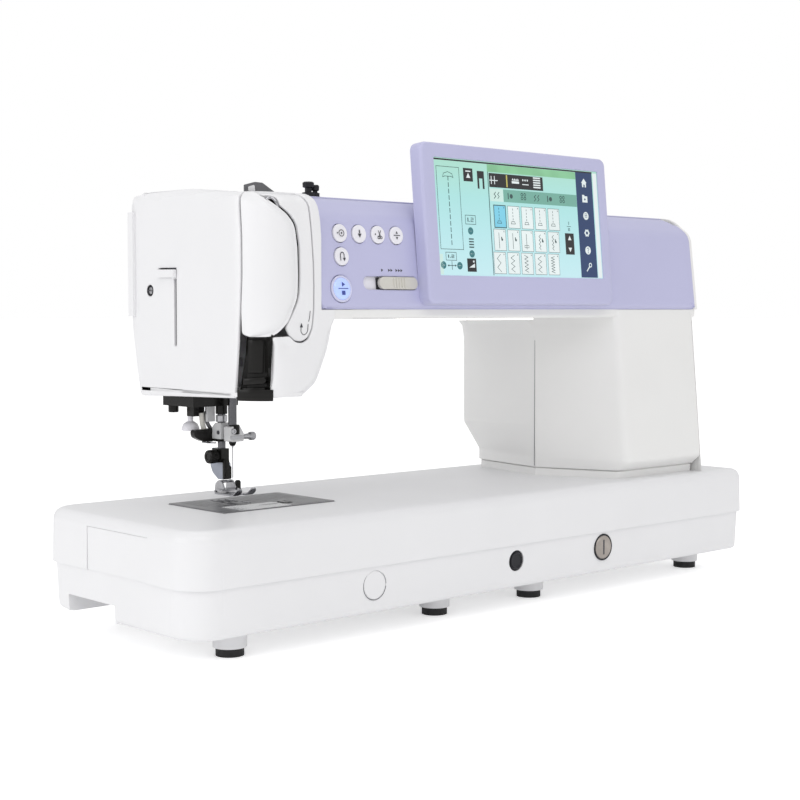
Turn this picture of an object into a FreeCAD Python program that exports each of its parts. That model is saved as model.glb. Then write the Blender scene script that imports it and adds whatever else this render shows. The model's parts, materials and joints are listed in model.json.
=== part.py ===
"""Domestic sewing machine with a wide bed, a needle head and a touch screen on the arm.

Frame: millimetres, +Z up, origin on the ground under the middle of the bed.
+X runs from the needle head to the handwheel, and -Y faces the person who sews.
"""

import FreeCAD, Part
import math
import os
import re

import Sketcher

from FreeCAD import Placement, Rotation, Vector

os.makedirs("parts", exist_ok=True)
doc = FreeCAD.newDocument("SewingMachine")

# ---------------------------------------------------------------- driving dimensions
SIZES = {
    "bed_length": 612, "bed_depth": 196, "bed_top": 93.3, "seam_level": 54, "shell_bottom": 19,
    "wall": 2.5, "shell_step": 2, "upper_draft": 1.2, "lower_draft": 2, "corner_left": 25,
    "corner_right": 6, "edge_round": 8, "lip_round": 4.5, "foot_radius": 10, "foot_height": 6,
    "boss_radius": 12, "fit_gap": 0.3, "shaft_gap": 0.05,
    "grip_depth": 44, "grip_front": 0, "grip_back": 62, "grip_roof": 32,
    "panel_front": -46, "panel_back": 32, "panel_thick": 2,
    "plug_x": -144.6, "plug_radius": 10.6, "socket_x": 4.7, "socket_radius": 5.4,
    "socket_sleeve": 8, "socket_length": 22, "dial_x": 110, "dial_radius": 10.2, "dial_height": 40.7,
    "plate_left": -231, "plate_right": -126, "plate_front": -31, "plate_back": 42,
    "plate_thick": 2, "plate_proud": 0.5,
    "cover_left": -214, "cover_right": -166, "cover_front": -29, "cover_back": -3,
    "needle_x": -190.2, "needle_y": 14, "needle_tip": 110,
    "needle_radius": 0.45, "needle_shank": 1, "bar_radius": 3.2, "bar_top": 292, "clamp_bottom": 139.6,
    "presser_y": 28, "presser_radius": 3, "presser_top": 250, "presser_bottom": 122,
    "sole_bottom": 100.4, "foot_hinge_z": 109, "foot_width": 20, "foot_length": 33,
    "hook_x": -190.2, "hook_y": -8.5, "hook_radius": 19, "hook_bottom": 62, "hook_top": 82,
    "lower_axis_y": 14.5, "lower_axis_z": 42, "lower_radius": 4, "lower_start": -214, "lower_end": 246,
    "lower_pulley_radius": 16, "gear_radius": 13, "hook_gear_radius": 9.6,
    "shaft_y": 14, "shaft_z": 288, "shaft_radius": 5, "shaft_start": -175, "shaft_end": 290,
    "pulley_x": 222, "pulley_width": 9, "pulley_radius": 22,
    "crank_radius": 21, "crank_throw": 16, "wheel_radius": 34, "wheel_width": 22, "wheel_x": 262,
    "motor_y": 18, "motor_z": 168, "motor_radius": 30, "motor_length": 58, "motor_pulley_radius": 8,
    "motor_pulley_x": 204, "belt_thick": 2,
    "head_left": -236, "head_right": -180, "head_bottom": 178, "arm_right": 259, "arm_back": 80,
    "arm_under": 232, "arm_joint": 239, "arm_front": -79, "arm_shoulder": -71, "shoulder_z": 305,
    "arm_crest": 326, "head_corner": 30, "lid_front": -44, "lid_back": 58, "lid_left": -176,
    "lid_right": 250, "pillar_seam_y": -9, "pillar_front": -89.5, "chin_back": 66, "pillar_left": 149.5,
    "pillar_seam_x": 120.6, "pillar_top_x": 111, "pillar_rear_x": 131,
    "screen_left": -84, "screen_right": 129, "screen_bottom": 243, "screen_top": 365,
    "screen_thick": 12, "screen_front": -90, "screen_lean": 5.3, "screen_round": 7,
    "glass_thick": 1.6,
    "key_radius": 6.6, "key_height": 5, "key_pitch": 18.3, "first_key_x": -157.7,
    "key_row_z": 293.7, "reverse_key_z": 276.9, "start_x": -160, "start_z": 253.6,
    "start_width": 20, "slider_left": -138, "slider_right": -85,
    "slider_z": 258.4, "slider_height": 9.3, "knob_length": 38,
    "lever_x": -234, "lever_y": 21, "lever_top": 268.4, "lever_travel": 45,
}
sheet = doc.addObject("Spreadsheet::Sheet", "Sizes")
for row, (name, value) in enumerate(SIZES.items(), start=1):
    sheet.set("A%d" % row, name)
    sheet.set("B%d" % row, str(value))
    sheet.setAlias("B%d" % row, name)
doc.recompute()


def cells(text):
    """Turns the names in a formula into references to the sheet."""
    return re.sub(r"[a-z][a-z_]+", lambda m: "Sizes." + m.group() if m.group() in SIZES else m.group(),
                  str(text))


def size(name):
    """A driving dimension as a number, for shapes that are worked out in code."""
    return float(getattr(sheet, name))


# ---------------------------------------------------------------- small building blocks
FACE_LEAN = math.degrees(math.atan2(size("arm_shoulder") - size("arm_front"),
                                    size("shoulder_z") - size("arm_joint")))
TURNS = {
    "X": Rotation(Vector(0, 1, 0), 90),
    "Y": Rotation(Vector(1, 0, 0), -90),
    "Z": Rotation(),
    "back": Rotation(Vector(0, 1, 0), -90),
    "into_face": Rotation(Vector(1, 0, 0), -90 - FACE_LEAN),
}


def bound(thing, at, axis="Z"):
    """Places a primitive at three formulas, with its own Z axis turned to the given row axis."""
    thing.Placement = Placement(Vector(), TURNS[axis])
    for letter, formula in zip("xyz", at):
        thing.setExpression("Placement.Base." + letter, cells(formula))
    return thing


def block(name, low, length, width, height):
    """A box from its lowest corner."""
    thing = doc.addObject("Part::Box", name)
    for prop, formula in (("Length", length), ("Width", width), ("Height", height)):
        thing.setExpression(prop, cells(formula))
    return bound(thing, low)


def rod(name, base, radius, length, axis="Z"):
    """A round bar that starts at base and runs along +axis."""
    thing = doc.addObject("Part::Cylinder", name)
    thing.setExpression("Radius", cells(radius))
    thing.setExpression("Height", cells(length))
    return bound(thing, base, axis)


def taper(name, base, radius, end_radius, length, axis="Z"):
    """A cone that starts at base and runs along +axis."""
    thing = doc.addObject("Part::Cone", name)
    thing.setExpression("Radius1", cells(radius))
    thing.setExpression("Radius2", cells(end_radius))
    thing.setExpression("Height", cells(length))
    return bound(thing, base, axis)


def fuse(name, *things):
    joined = doc.addObject("Part::MultiFuse", name)
    joined.Shapes = list(things)
    return joined


def cut(name, base, *tools):
    tool = tools[0] if len(tools) == 1 else fuse(name + "_tools", *tools)
    result = doc.addObject("Part::Cut", name)
    result.Base = base
    result.Tool = tool
    return result


nodes = {}


def node(label, thing):
    """Declares a finished sub-part."""
    thing.Label = label
    nodes[label] = thing
    return thing


def shaped(label, shape):
    """A sub-part whose shape is worked out from the sheet in code."""
    thing = doc.addObject("Part::Feature", label)
    thing.Shape = shape
    thing.Placement = Placement()
    return node(label, thing)


# ---------------------------------------------------------------- PartDesign helpers
def new_body(label):
    body = doc.addObject("PartDesign::Body", label)
    return node(label, body)


def sketch_on(body, role, offset="0"):
    """A sketch on one of the body's own origin planes, lifted by a formula."""
    plane = [f for f in body.Origin.OriginFeatures if f.Role == role][0]
    sketch = body.newObject("Sketcher::SketchObject", body.Name + "_sketch")
    sketch.AttachmentSupport = (plane, [""])
    sketch.MapMode = "FlatFace"
    sketch.setExpression("AttachmentOffset.Base.z", cells(offset))
    return sketch


def outline(sketch, corners):
    """A closed polygon. Each corner is a pair of formulas, and the sketch's solver puts it there."""
    count = len(corners)
    start = [Vector(math.cos(2 * math.pi * i / count), math.sin(2 * math.pi * i / count),
                    0) for i in range(count)]
    first = sketch.GeometryCount
    for i in range(count):
        sketch.addGeometry(Part.LineSegment(start[i], start[(i + 1) % count]), False)
    for i in range(count):
        joint = Sketcher.Constraint("Coincident", first + i, 2, first + (i + 1) % count, 1)
        sketch.addConstraint(joint)
    for i, corner in enumerate(corners):
        for kind, formula in zip(("DistanceX", "DistanceY"), corner):
            index = sketch.addConstraint(Sketcher.Constraint(kind, -1, 1, first + i, 1, 1.0))
            sketch.setExpression("Constraints[%d]" % index, cells(formula))


def ring(sketch, centre, radius):
    """A circle whose centre and radius are formulas."""
    circle = sketch.addGeometry(Part.Circle(Vector(0, 0, 0), Vector(0, 0, 1), 1.0), False)
    for kind, formula in zip(("DistanceX", "DistanceY"), centre):
        index = sketch.addConstraint(Sketcher.Constraint(kind, -1, 1, circle, 3, 1.0))
        sketch.setExpression("Constraints[%d]" % index, cells(formula))
    index = sketch.addConstraint(Sketcher.Constraint("Radius", circle, 1.0))
    sketch.setExpression("Constraints[%d]" % index, cells(radius))


def feature(body, kind, sketch, length=None, backwards=False):
    """A pad or pocket of a sketch."""
    thing = body.newObject("PartDesign::" + kind, body.Name + "_" + kind.lower())
    thing.Profile = sketch
    thing.Reversed = backwards
    thing.setExpression("Length", cells(length))
    return thing


def rectangle(left, front, right, back):
    return [(left, front), (right, front), (right, back), (left, back)]


def clipped_rectangle(x, y, clip):
    """A rectangle about the middle, half sizes x and y, whose four corners are cut off."""
    return [("-(%s) + %s" % (x, clip), "-(%s)" % y), ("%s - %s" % (x, clip), "-(%s)" % y),
            (x, "-(%s) + %s" % (y, clip)), (x, "%s - %s" % (y, clip)), ("%s - %s" % (x, clip), y),
            ("-(%s) + %s" % (x, clip), y), ("-(%s)" % x, "%s - %s" % (y, clip)),
            ("-(%s)" % x, "-(%s) + %s" % (y, clip))]


def plate(label, corners, base, thickness, role="XY_Plane", backwards=False):
    """A flat piece: a polygon on a plane, padded along the plane's normal."""
    body = new_body(label)
    sketch = sketch_on(body, role, base)
    outline(sketch, corners)
    feature(body, "Pad", sketch, thickness, backwards)
    doc.recompute()
    return body


def turned(label, at, axis, profile):
    """A piece turned on a lathe: pairs of radius and height, spun about the piece's own axis."""
    body = new_body(label)
    sketch = sketch_on(body, "XZ_Plane")
    outline(sketch, profile)
    spin = body.newObject("PartDesign::Revolution", body.Name + "_revolution")
    spin.Profile = sketch
    spin.ReferenceAxis = (sketch, ["V_Axis"])
    spin.Angle = 360
    bound(body, at, axis)
    doc.recompute()
    return body


def rounded_edges(body, radius, wanted, kind="Fillet"):
    """Rounds the edges of the body's last feature whose middle point passes a test."""
    base = body.Tip
    names = []
    for i, edge in enumerate(base.Shape.Edges, start=1):
        if wanted(edge.CenterOfMass, edge):
            names.append("Edge%d" % i)
    thing = body.newObject("PartDesign::" + kind, body.Name + "_" + kind.lower())
    thing.Base = (base, names)
    thing.setExpression("Radius" if kind == "Fillet" else "Size", cells(radius))
    doc.recompute()
    return thing


def upright(point, edge):
    """True for an edge that runs mostly up and down."""
    ends = [v.Point for v in edge.Vertexes]
    rise = ends[-1] - ends[0]
    return abs(rise.z) > 0.8 * rise.Length and rise.Length > 0


# ---------------------------------------------------------------- bed
def bed_shell(label, step, end_level, height, draft, lip, downwards):
    """Half of the bed's casing: a drafted tray with rounded corners, open at the seam."""
    body = new_body(label)
    sketch = sketch_on(body, "XY_Plane", "seam_level")
    half = ("bed_length / 2 - %s" % step, "bed_depth / 2 - %s" % step)
    outline(sketch, rectangle("-(%s)" % half[0], "-(%s)" % half[1], half[0], half[1]))
    pad = feature(body, "Pad", sketch, height, downwards)
    pad.setExpression("TaperAngle", "-" + cells(draft))
    doc.recompute()
    for name, side in (("corner_left", -1), ("corner_right", 1)):
        rounded_edges(body, name, lambda p, e: upright(p, e) and p.x * side > 0)
    rounded_edges(body, lip, lambda p, e: abs(p.z - size(end_level)) < 0.01)
    hollow = sketch_on(body, "XY_Plane", "seam_level")
    inner = ("%s - 2 * wall" % half[0], "%s - 2 * wall" % half[1])
    outline(hollow, clipped_rectangle(inner[0], inner[1], "corner_left * 0.7"))
    feature(body, "Pocket", hollow, "%s - wall" % height, not downwards)
    doc.recompute()
    return body


upper = bed_shell("bed_upper_shell", "0", "bed_top", "bed_top - seam_level", "upper_draft", "edge_round",
                  False)
for name, corners in (
    ("plate_window", rectangle("plate_left", "plate_front", "plate_right", "plate_back")),
    ("pillar_window", rectangle("pillar_rear_x + 16", "-60", "arm_right - 14", "arm_back - 20")),
):
    window = sketch_on(upper, "XY_Plane", "bed_top")
    outline(window, corners)
    feature(upper, "Pocket", window, "2 * wall")
    doc.recompute()
notch = sketch_on(upper, "YZ_Plane", "-bed_length / 2")
outline(notch, rectangle("panel_front", "seam_level", "panel_back", "bed_top - edge_round"))
feature(upper, "Pocket", notch, "wall + 4", True)
doc.recompute()

lower = bed_shell("bed_lower_shell", "shell_step", "shell_bottom", "seam_level - shell_bottom",
                  "lower_draft",
                  "lip_round", True)

# the hand grip is a pocket with its own roof and walls, low on the left side
grip_left = "-bed_length / 2 + shell_step + 1.5"
grip_right = "-bed_length / 2 + grip_depth"
liner = sketch_on(lower, "XY_Plane", "shell_bottom + 0.5")
outline(liner, rectangle(grip_left, "grip_front - wall", grip_right + " + wall", "grip_back + wall"))
feature(lower, "Pad", liner, "grip_roof + wall - shell_bottom - 0.5")
doc.recompute()
mouth = sketch_on(lower, "XY_Plane", "grip_roof")
outline(mouth, rectangle("-bed_length / 2 - 1", "grip_front", grip_right, "grip_back"))
feature(lower, "Pocket", mouth, "grip_roof - shell_bottom + 2")
doc.recompute()

FRONT_FEET = [("-250", "-63"), ("-46", "-55"), ("63", "-55"), ("277.6", "-54")]
REAR_FEET = [("-236", "78"), ("-46", "72"), ("63", "72"), ("277.6", "72")]
for x, y in FRONT_FEET + REAR_FEET:
    boss = sketch_on(lower, "XY_Plane", "foot_height")
    ring(boss, (x, y), "boss_radius")
    feature(lower, "Pad", boss, "shell_bottom + wall - foot_height")
    doc.recompute()
for x, height, radius in (
    ("plug_x", "40", "plug_radius"),
    ("socket_x", "41", "socket_sleeve + fit_gap"),
    ("dial_x", "dial_height", "dial_radius + fit_gap"),
):
    hole = sketch_on(lower, "XZ_Plane", "bed_depth / 2 + 1")
    ring(hole, (x, height), radius)
    feature(lower, "Pocket", hole, "shell_step + 2 * wall + 4")
    doc.recompute()

plate("bed_end_panel", rectangle("panel_front + 0.3", "seam_level + 0.3", "panel_back - 0.3",
             "bed_top - edge_round - 0.3"), "-bed_length / 2 + 1", "panel_thick", "YZ_Plane")

turned("front_plug", ("plug_x", "-bed_depth / 2 + shell_step + 1", "40"), "Y", [
    ("0", "0"), ("plug_radius - 0.4", "0"), ("plug_radius - 0.1", "0.3"),
    ("plug_radius - 0.1", "4"), ("0", "4")])

turned("knee_lifter_socket", ("socket_x", "-bed_depth / 2 + shell_step + 0.8", "41"), "Y", [
    ("socket_radius", "0"), ("socket_sleeve - 0.5", "0"), ("socket_sleeve", "0.5"),
    ("socket_sleeve", "socket_length"), ("socket_radius", "socket_length")])

dial = turned("feed_balance_dial", ("dial_x", "-bed_depth / 2 + shell_step + 0.6", "dial_height"), "Y", [
    ("0", "0"), ("dial_radius - 0.8", "0"), ("dial_radius", "0.8"), ("dial_radius", "9"),
    ("4", "9"), ("4",
                                                                                                  "20"),
    ("0", "20")])
slot = sketch_on(dial, "XY_Plane", "0")
outline(slot, rectangle("-0.9", "-dial_radius + 1.6", "0.9", "dial_radius - 1.6"))
feature(dial, "Pocket", slot, "2", True)
doc.recompute()

feet = [rod("foot", (x, y, "0"), "foot_radius", "foot_height") for x, y in FRONT_FEET + REAR_FEET]
node("rubber_feet", fuse("rubber_feet", *feet))

tray = block("tray", ("-287", "-84", "24"), "574", "168", "3")
ribs = [block("rib", (x, "-84", "27"), "4", "168", "9") for x in ("-246", "-130", "-30", "90", "262")]
cradle = [block("cradle", (x, "lower_axis_y - 9", "27"), "8", "18", "24") for x in ("-150", "40", "190")]
shaft_way = rod("shaft_way", ("-152", "lower_axis_y", "lower_axis_z"), "lower_radius + shaft_gap", "360",
                "X")
hook_post = rod("hook_post", ("hook_x", "hook_y", "26"), "8", "8")
hook_bore = rod("hook_bore", ("hook_x", "hook_y", "20"), "3 + shaft_gap", "30")
grip_room = block("grip_room", ("-bed_length / 2", "grip_front - 6", "20"), "grip_depth + 8",
                  "grip_back + 12", "20")
knee_room = block("knee_room", ("socket_x - 12", "-90", "20"), "24", "24", "34")
pulley_room = block("pulley_room", ("pulley_x - 9", "lower_axis_y - 24", "20"), "18", "48", "12")
node("base_frame", cut("base_frame", fuse("base_solid", tray, *ribs, *cradle, hook_post),
                       shaft_way, hook_bore, grip_room, knee_room, pulley_room))

# ---------------------------------------------------------------- needle plate, hook and feed
throat = plate("needle_plate", rectangle("plate_left + 0.3", "plate_front + 0.3", "plate_right - 0.3",
               "plate_back - 0.3"), "bed_top + plate_proud - plate_thick", "plate_thick")
for corners in (
    rectangle("cover_left - fit_gap", "cover_front - fit_gap", "cover_right + fit_gap",
              "cover_back + fit_gap"),
    rectangle("-164.6", "-17.5", "-156.6", "-5.5"),
    rectangle("needle_x - 4.8", "needle_y - 1.3", "needle_x + 4.8", "needle_y + 1.3"),
    rectangle("needle_x - 8", "needle_y - 14.5", "needle_x - 5.6", "needle_y + 20.5"),
    rectangle("needle_x + 5.6", "needle_y - 14.5", "needle_x + 8", "needle_y + 20.5"),
    rectangle("needle_x - 2.4", "needle_y + 3.5", "needle_x + 2.4", "needle_y + 20.5"),
):
    window = sketch_on(throat, "XY_Plane", "bed_top + plate_proud")
    outline(window, corners)
    feature(throat, "Pocket", window, "plate_thick + 1")
    doc.recompute()

cover = plate("hook_cover_plate", rectangle("cover_left", "cover_front", "cover_right", "cover_back"),
              "bed_top + plate_proud - plate_thick", "plate_thick")
rounded_edges(cover, "wall", upright)

button = plate("cover_release_button", rectangle("-164.2", "-17", "-160.2", "-6"),
               "bed_top + plate_proud - plate_thick", "plate_thick + 0.8")
rounded_edges(button, "1.5", upright)

feed_top = "bed_top + plate_proud + 0.9"
dogs = [block("feed_row", ("needle_x + (%s)" % x, y, "88.4"), width, "28 - (%s)" % y,
              feed_top + " - 88.4")
        for x, y, width in (("-7.6", "3.2", "1.6"), ("6", "3.2", "1.6"), ("-2", "20.6", "4"))]
bridge = block("feed_bridge", ("needle_x - 7.6", "needle_y + 9", "84"), "15.2", "7", "6")
feed_leg = block("feed_leg", ("needle_x - 4", "needle_y + 12", "56"), "8", "4", "29")
node("feed_dog", fuse("feed_dog", *dogs, bridge, feed_leg))

turned("rotary_hook", ("hook_x", "hook_y", "28"), "Z", [
    ("0", "0"), ("3", "0"), ("3", "8"), ("hook_gear_radius", "8"), ("hook_gear_radius", "20"),
    ("3", "20"),
    ("3", "hook_bottom - 30"), ("hook_radius", "hook_bottom - 28"),
    ("hook_radius", "hook_top - 28"), ("hook_radius - 1.6", "hook_top - 28"),
    ("hook_radius - 1.6", "hook_bottom - 26"), ("0", "hook_bottom - 26")])
turned("bobbin_case", ("hook_x", "hook_y", "hook_bottom + 2.5"), "Z", [
    ("0", "0"), ("hook_radius - 2.2", "0"), ("hook_radius - 2.2", "21"), ("hook_radius - 0.2", "21"),
    ("hook_radius - 0.2", "22.6"), ("hook_radius - 3.6", "22.6"), ("hook_radius - 3.6", "1.6"),
    ("2.6", "1.6"), ("2.6", "7"), ("0", "7")])
turned("bobbin", ("hook_x", "hook_y", "hook_bottom + 5"), "Z", [
    ("3.2", "0"), ("10.2", "0"), ("10.2", "0.9"), ("8.2", "0.9"), ("8.2", "10.6"), ("10.2", "10.6"),
    ("10.2", "11.5"), ("3.2", "11.5")])

# ---------------------------------------------------------------- drive line
turned("lower_shaft", ("lower_start", "lower_axis_y", "lower_axis_z"), "X", [
    ("0", "0"), ("lower_radius", "0"), ("lower_radius", "14"), ("gear_radius", "14"),
    ("gear_radius", "32"),
    ("lower_radius", "32"), ("lower_radius", "pulley_x - lower_start - 7"),
    ("lower_pulley_radius + 3", "pulley_x - lower_start - 7"),
    ("lower_pulley_radius + 3", "pulley_x - lower_start - 5.5"),
    ("lower_pulley_radius", "pulley_x - lower_start - 5.5"),
    ("lower_pulley_radius", "pulley_x - lower_start + 5.5"),
    ("lower_radius", "pulley_x - lower_start + 5.5"), ("lower_radius", "lower_end - lower_start"),
    ("0", "lower_end - lower_start")])
turned("main_shaft", ("shaft_start", "shaft_y", "shaft_z"), "X", [
    ("0", "-6"), ("crank_radius", "-6"), ("crank_radius", "0"), ("shaft_radius", "0"),
    ("shaft_radius", "motor_pulley_x - shaft_start - 6"),
    ("pulley_radius", "motor_pulley_x - shaft_start - 6"),
    ("pulley_radius", "motor_pulley_x - shaft_start + 6"),
    ("12", "motor_pulley_x - shaft_start + 6"), ("12", "pulley_x - shaft_start - 5.5"),
    ("lower_pulley_radius", "pulley_x - shaft_start - 5.5"),
    ("lower_pulley_radius", "pulley_x - shaft_start + 5.5"),
    ("shaft_radius", "pulley_x - shaft_start + 5.5"), ("shaft_radius", "shaft_end - shaft_start"),
    ("0", "shaft_end - shaft_start")])
wheel = turned("handwheel", ("wheel_x", "shaft_y", "shaft_z"), "X", [
    ("shaft_radius", "0"), ("wheel_radius - 3", "0"), ("wheel_radius", "3"),
    ("wheel_radius", "wheel_width - 5"),
    ("wheel_radius - 5", "wheel_width"), ("14", "wheel_width"), ("12", "wheel_width - 4"),
    ("shaft_radius", "wheel_width - 4")])
flute = sketch_on(wheel, "XY_Plane", "-1")
ring(flute, ("wheel_radius + 2.6", "0"), "4")
groove = feature(wheel, "Pocket", flute, "wheel_width + 4", True)
doc.recompute()
pattern = wheel.newObject("PartDesign::PolarPattern", "handwheel_flutes")
pattern.Originals = [groove]
pattern.Axis = (flute, ["N_Axis"])
pattern.Angle = 360
pattern.Occurrences = 20
wheel.Tip = pattern
doc.recompute()

turned("drive_motor", ("motor_pulley_x - 14 - motor_length", "motor_y", "motor_z"), "X", [
    ("0", "0"), ("motor_radius - 2", "0"), ("motor_radius", "2"), ("motor_radius", "motor_length - 2"),
    ("motor_radius - 2", "motor_length"), ("9", "motor_length"), ("9", "motor_length + 4"),
    ("0", "motor_length + 4")])
turned("motor_pulley", ("motor_pulley_x - 9", "motor_y", "motor_z"), "X", [
    ("0", "0"), ("3", "0"), ("3", "3"), ("motor_pulley_radius", "3"),
    ("motor_pulley_radius", "15"), ("0", "15")])


def belt(x, width, one, two):
    """A toothed belt round two pulleys, each given as (y, z, radius)."""
    def hull(grow):
        (y1, z1, r1), (y2, z2, r2) = [(y, z, r + grow) for y, z, r in (one, two)]
        reach = math.hypot(y2 - y1, z2 - z1)
        lean = math.atan2(z2 - z1, y2 - y1)
        open_angle = math.acos((r1 - r2) / reach)
        corners = []
        for side in (1, -1):
            angle = lean + side * open_angle
            pair = [Vector(x, y + r * math.cos(angle), z + r * math.sin(angle)) for y, z, r in
                    ((y1, z1, r1), (y2, z2, r2))]
            corners += pair if side == 1 else pair[::-1]
        web = Part.Face(Part.makePolygon(corners + corners[:1])).extrude(Vector(width, 0, 0))
        ends = [Part.makeCylinder(r, width, Vector(x, y, z), Vector(1, 0, 0)) for y, z, r in
                ((y1, z1, r1), (y2, z2, r2))]
        return web.multiFuse(ends).removeSplitter()
    return hull(size("fit_gap") + size("belt_thick")).cut(hull(size("fit_gap")))


motor_belt = belt(size("motor_pulley_x") - 5, 10,
                  (size("shaft_y"), size("shaft_z"), size("pulley_radius")),
                  (size("motor_y"), size("motor_z"), size("motor_pulley_radius")))
timing_belt = belt(size("pulley_x") - 4.5, 9,
                   (size("shaft_y"), size("shaft_z"), size("lower_pulley_radius")),
                   (size("lower_axis_y"), size("lower_axis_z"), size("lower_pulley_radius")))
shaped("drive_belts", Part.makeCompound([motor_belt, timing_belt]))

# ---------------------------------------------------------------- casing of arm, pillar and head
def smooth_wire(corners, lift, closed=True):
    """Straight runs joined by tangent arcs. Each corner is (u, v, radius), and lift makes it a point."""
    count = len(corners)
    edges = []
    starts = []
    for i, (u, v, radius) in enumerate(corners):
        here = Vector(u, v, 0)
        if not closed and i in (0, count - 1):
            starts.append((here, here, None))
            continue
        before = Vector(*corners[i - 1][:2], 0) - here
        after = Vector(*corners[(i + 1) % count][:2], 0) - here
        before.normalize()
        after.normalize()
        half = before.getAngle(after) / 2
        reach = radius / math.tan(half)
        out = radius / math.sin(half) - radius
        middle = here + (before + after).normalize() * out if radius else None
        starts.append((here + before * reach, here + after * reach, middle))
    for i, (enter, leave, middle) in enumerate(starts):
        if middle is not None:
            edges.append(Part.Arc(lift(enter), lift(middle), lift(leave)).toShape())
        following = starts[(i + 1) % count]
        if closed or i < count - 1:
            if leave.distanceToPoint(following[0]) > 1e-6:
                edges.append(Part.LineSegment(lift(leave), lift(following[0])).toShape())
    return Part.Wire(edges)


def prism(corners, lift, along, shrink=0.0):
    """A solid with a smooth outline, pulled in by shrink on all its outline, run along a vector."""
    wire = smooth_wire(corners, lift)
    if shrink:
        wire = wire.makeOffset2D(-shrink, 1)
    return Part.Face(wire).extrude(along)


CREST = [(-50, 321, 30), (10, size("arm_crest"), 60), (62, 326.5, 14), (size("arm_back"), 318, 5)]
ARM_OUTLINE = [
    (size("arm_front") + 3, size("arm_under"), 3), (size("arm_front") + 3, size("arm_joint"), 0),
    (size("arm_front"), size("arm_joint"), 0), (size("arm_shoulder"), size("shoulder_z"), 14), *CREST,
    (size("arm_back"), size("arm_under"), 6)]
HEAD_OUTLINE = [(size("arm_front"), size("head_bottom"), 3), (size("arm_front"), size("shoulder_z"), 14),
                *CREST,
                (size("arm_back"), size("head_bottom"), 3)]
PILLAR_FOOT = [(size("pillar_rear_x"), size("arm_back"), 4),
               (size("pillar_seam_x"), size("pillar_seam_y"), 0),
               (size("pillar_left"), size("pillar_front"), 7), (size("arm_right"), size("pillar_front"),
                                                                7),
               (size("arm_right"), size("arm_back"), 12)]
PILLAR_HEAD = [(size("pillar_top_x"), size("arm_back"), 4),
               (size("pillar_top_x"), size("pillar_seam_y"), 0),
               (size("pillar_left"), size("arm_front") + 3, 7), (size("arm_right"),
                                                                 size("arm_front") + 3, 7),
               (size("arm_right"), size("arm_back"), 12)]
HEAD_PLAN = [(size("head_left"), size("arm_front"), size("head_corner")),
             (size("arm_right"), size("arm_front"), 0),
             (size("arm_right"), size("arm_back"), 12), (size("head_left"), size("arm_back"), 3)]
CHIN_FOOT = [(size("head_left"), size("arm_front"), 0), (-198, size("arm_front"), 4), (-176, -50, 4),
             (-176, size("chin_back"), 0), (size("head_left"), size("chin_back"), 0)]
CHIN_HEAD = [(size("head_left"), size("arm_front"), 0), (-163, size("arm_front"), 4), (-162, -50, 4),
             (-162, size("arm_back"), 0), (size("head_left"), size("arm_back"), 0)]


def loft(low_corners, low, high_corners, high, shrink):
    """A ruled solid between two level outlines, both pulled in by shrink."""
    rings = []
    for corners, height in ((low_corners, low), (high_corners, high)):
        wire = smooth_wire(corners, lambda p, z=height: Vector(p.x, p.y, z))
        rings.append(wire.makeOffset2D(-shrink, 1) if shrink else wire)
    return Part.makeLoft(rings, True, True)


def casing(shrink):
    """The closed outer form of arm, pillar and head, pulled in by shrink."""
    left = size("head_left")
    joint = size("arm_joint")
    arm = prism(ARM_OUTLINE, lambda p: Vector(size("head_right"), p.x, p.y),
                Vector(size("arm_right") - shrink - size("head_right"), 0, 0), shrink)
    head = prism(HEAD_OUTLINE, lambda p: Vector(left, p.x, p.y), Vector(size("head_right") - left, 0, 0),
                 shrink)
    head = head.common(Part.makeBox(500, 400, 400, Vector(left - 5, -200, joint - 4)))
    chin = loft(CHIN_FOOT, size("head_bottom") + shrink, CHIN_HEAD, joint - shrink, shrink)
    plan = prism(HEAD_PLAN, lambda p: Vector(p.x, p.y, size("head_bottom") - 4), Vector(0, 0, 400),
                 shrink)
    head = head.fuse(chin).common(plan)
    pillar = loft(PILLAR_FOOT, size("bed_top"), PILLAR_HEAD, joint - shrink, shrink)
    return arm.fuse([head, pillar]).removeSplitter()


def region(left, right, front, back, low, high):
    return Part.makeBox(right - left, back - front, high - low, Vector(left, front, low))


def face_y(height):
    """Depth of the arm's leaning front face at a height, as a formula."""
    slope = "(arm_shoulder - arm_front) / (shoulder_z - arm_joint)"
    return "(arm_front + ((%s) - arm_joint) * %s)" % (height, slope)


def face_depth(height):
    return size("arm_front") + (height - size("arm_joint")) * math.tan(math.radians(FACE_LEAN))


FACE_IN = Vector(0, math.cos(math.radians(FACE_LEAN)), -math.sin(math.radians(FACE_LEAN)))
KEYS = {"key_" + name: (size("first_key_x") + i * size("key_pitch"), size("key_row_z")) for i, name in
        enumerate(("reinforce", "needle_position", "thread_cutter", "foot_lift"))}
KEYS["key_reverse"] = (size("first_key_x"), size("reverse_key_z"))
START_RADIUS = size("start_width") / 2 - 0.2

skin = casing(0).cut(casing(size("wall")))
everywhere = (-400, 400, -200, 200)
bottom_open = region(151, 250, -74, 70, 80, size("bed_top") + 8)
remaining = skin.cut(bottom_open)

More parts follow.
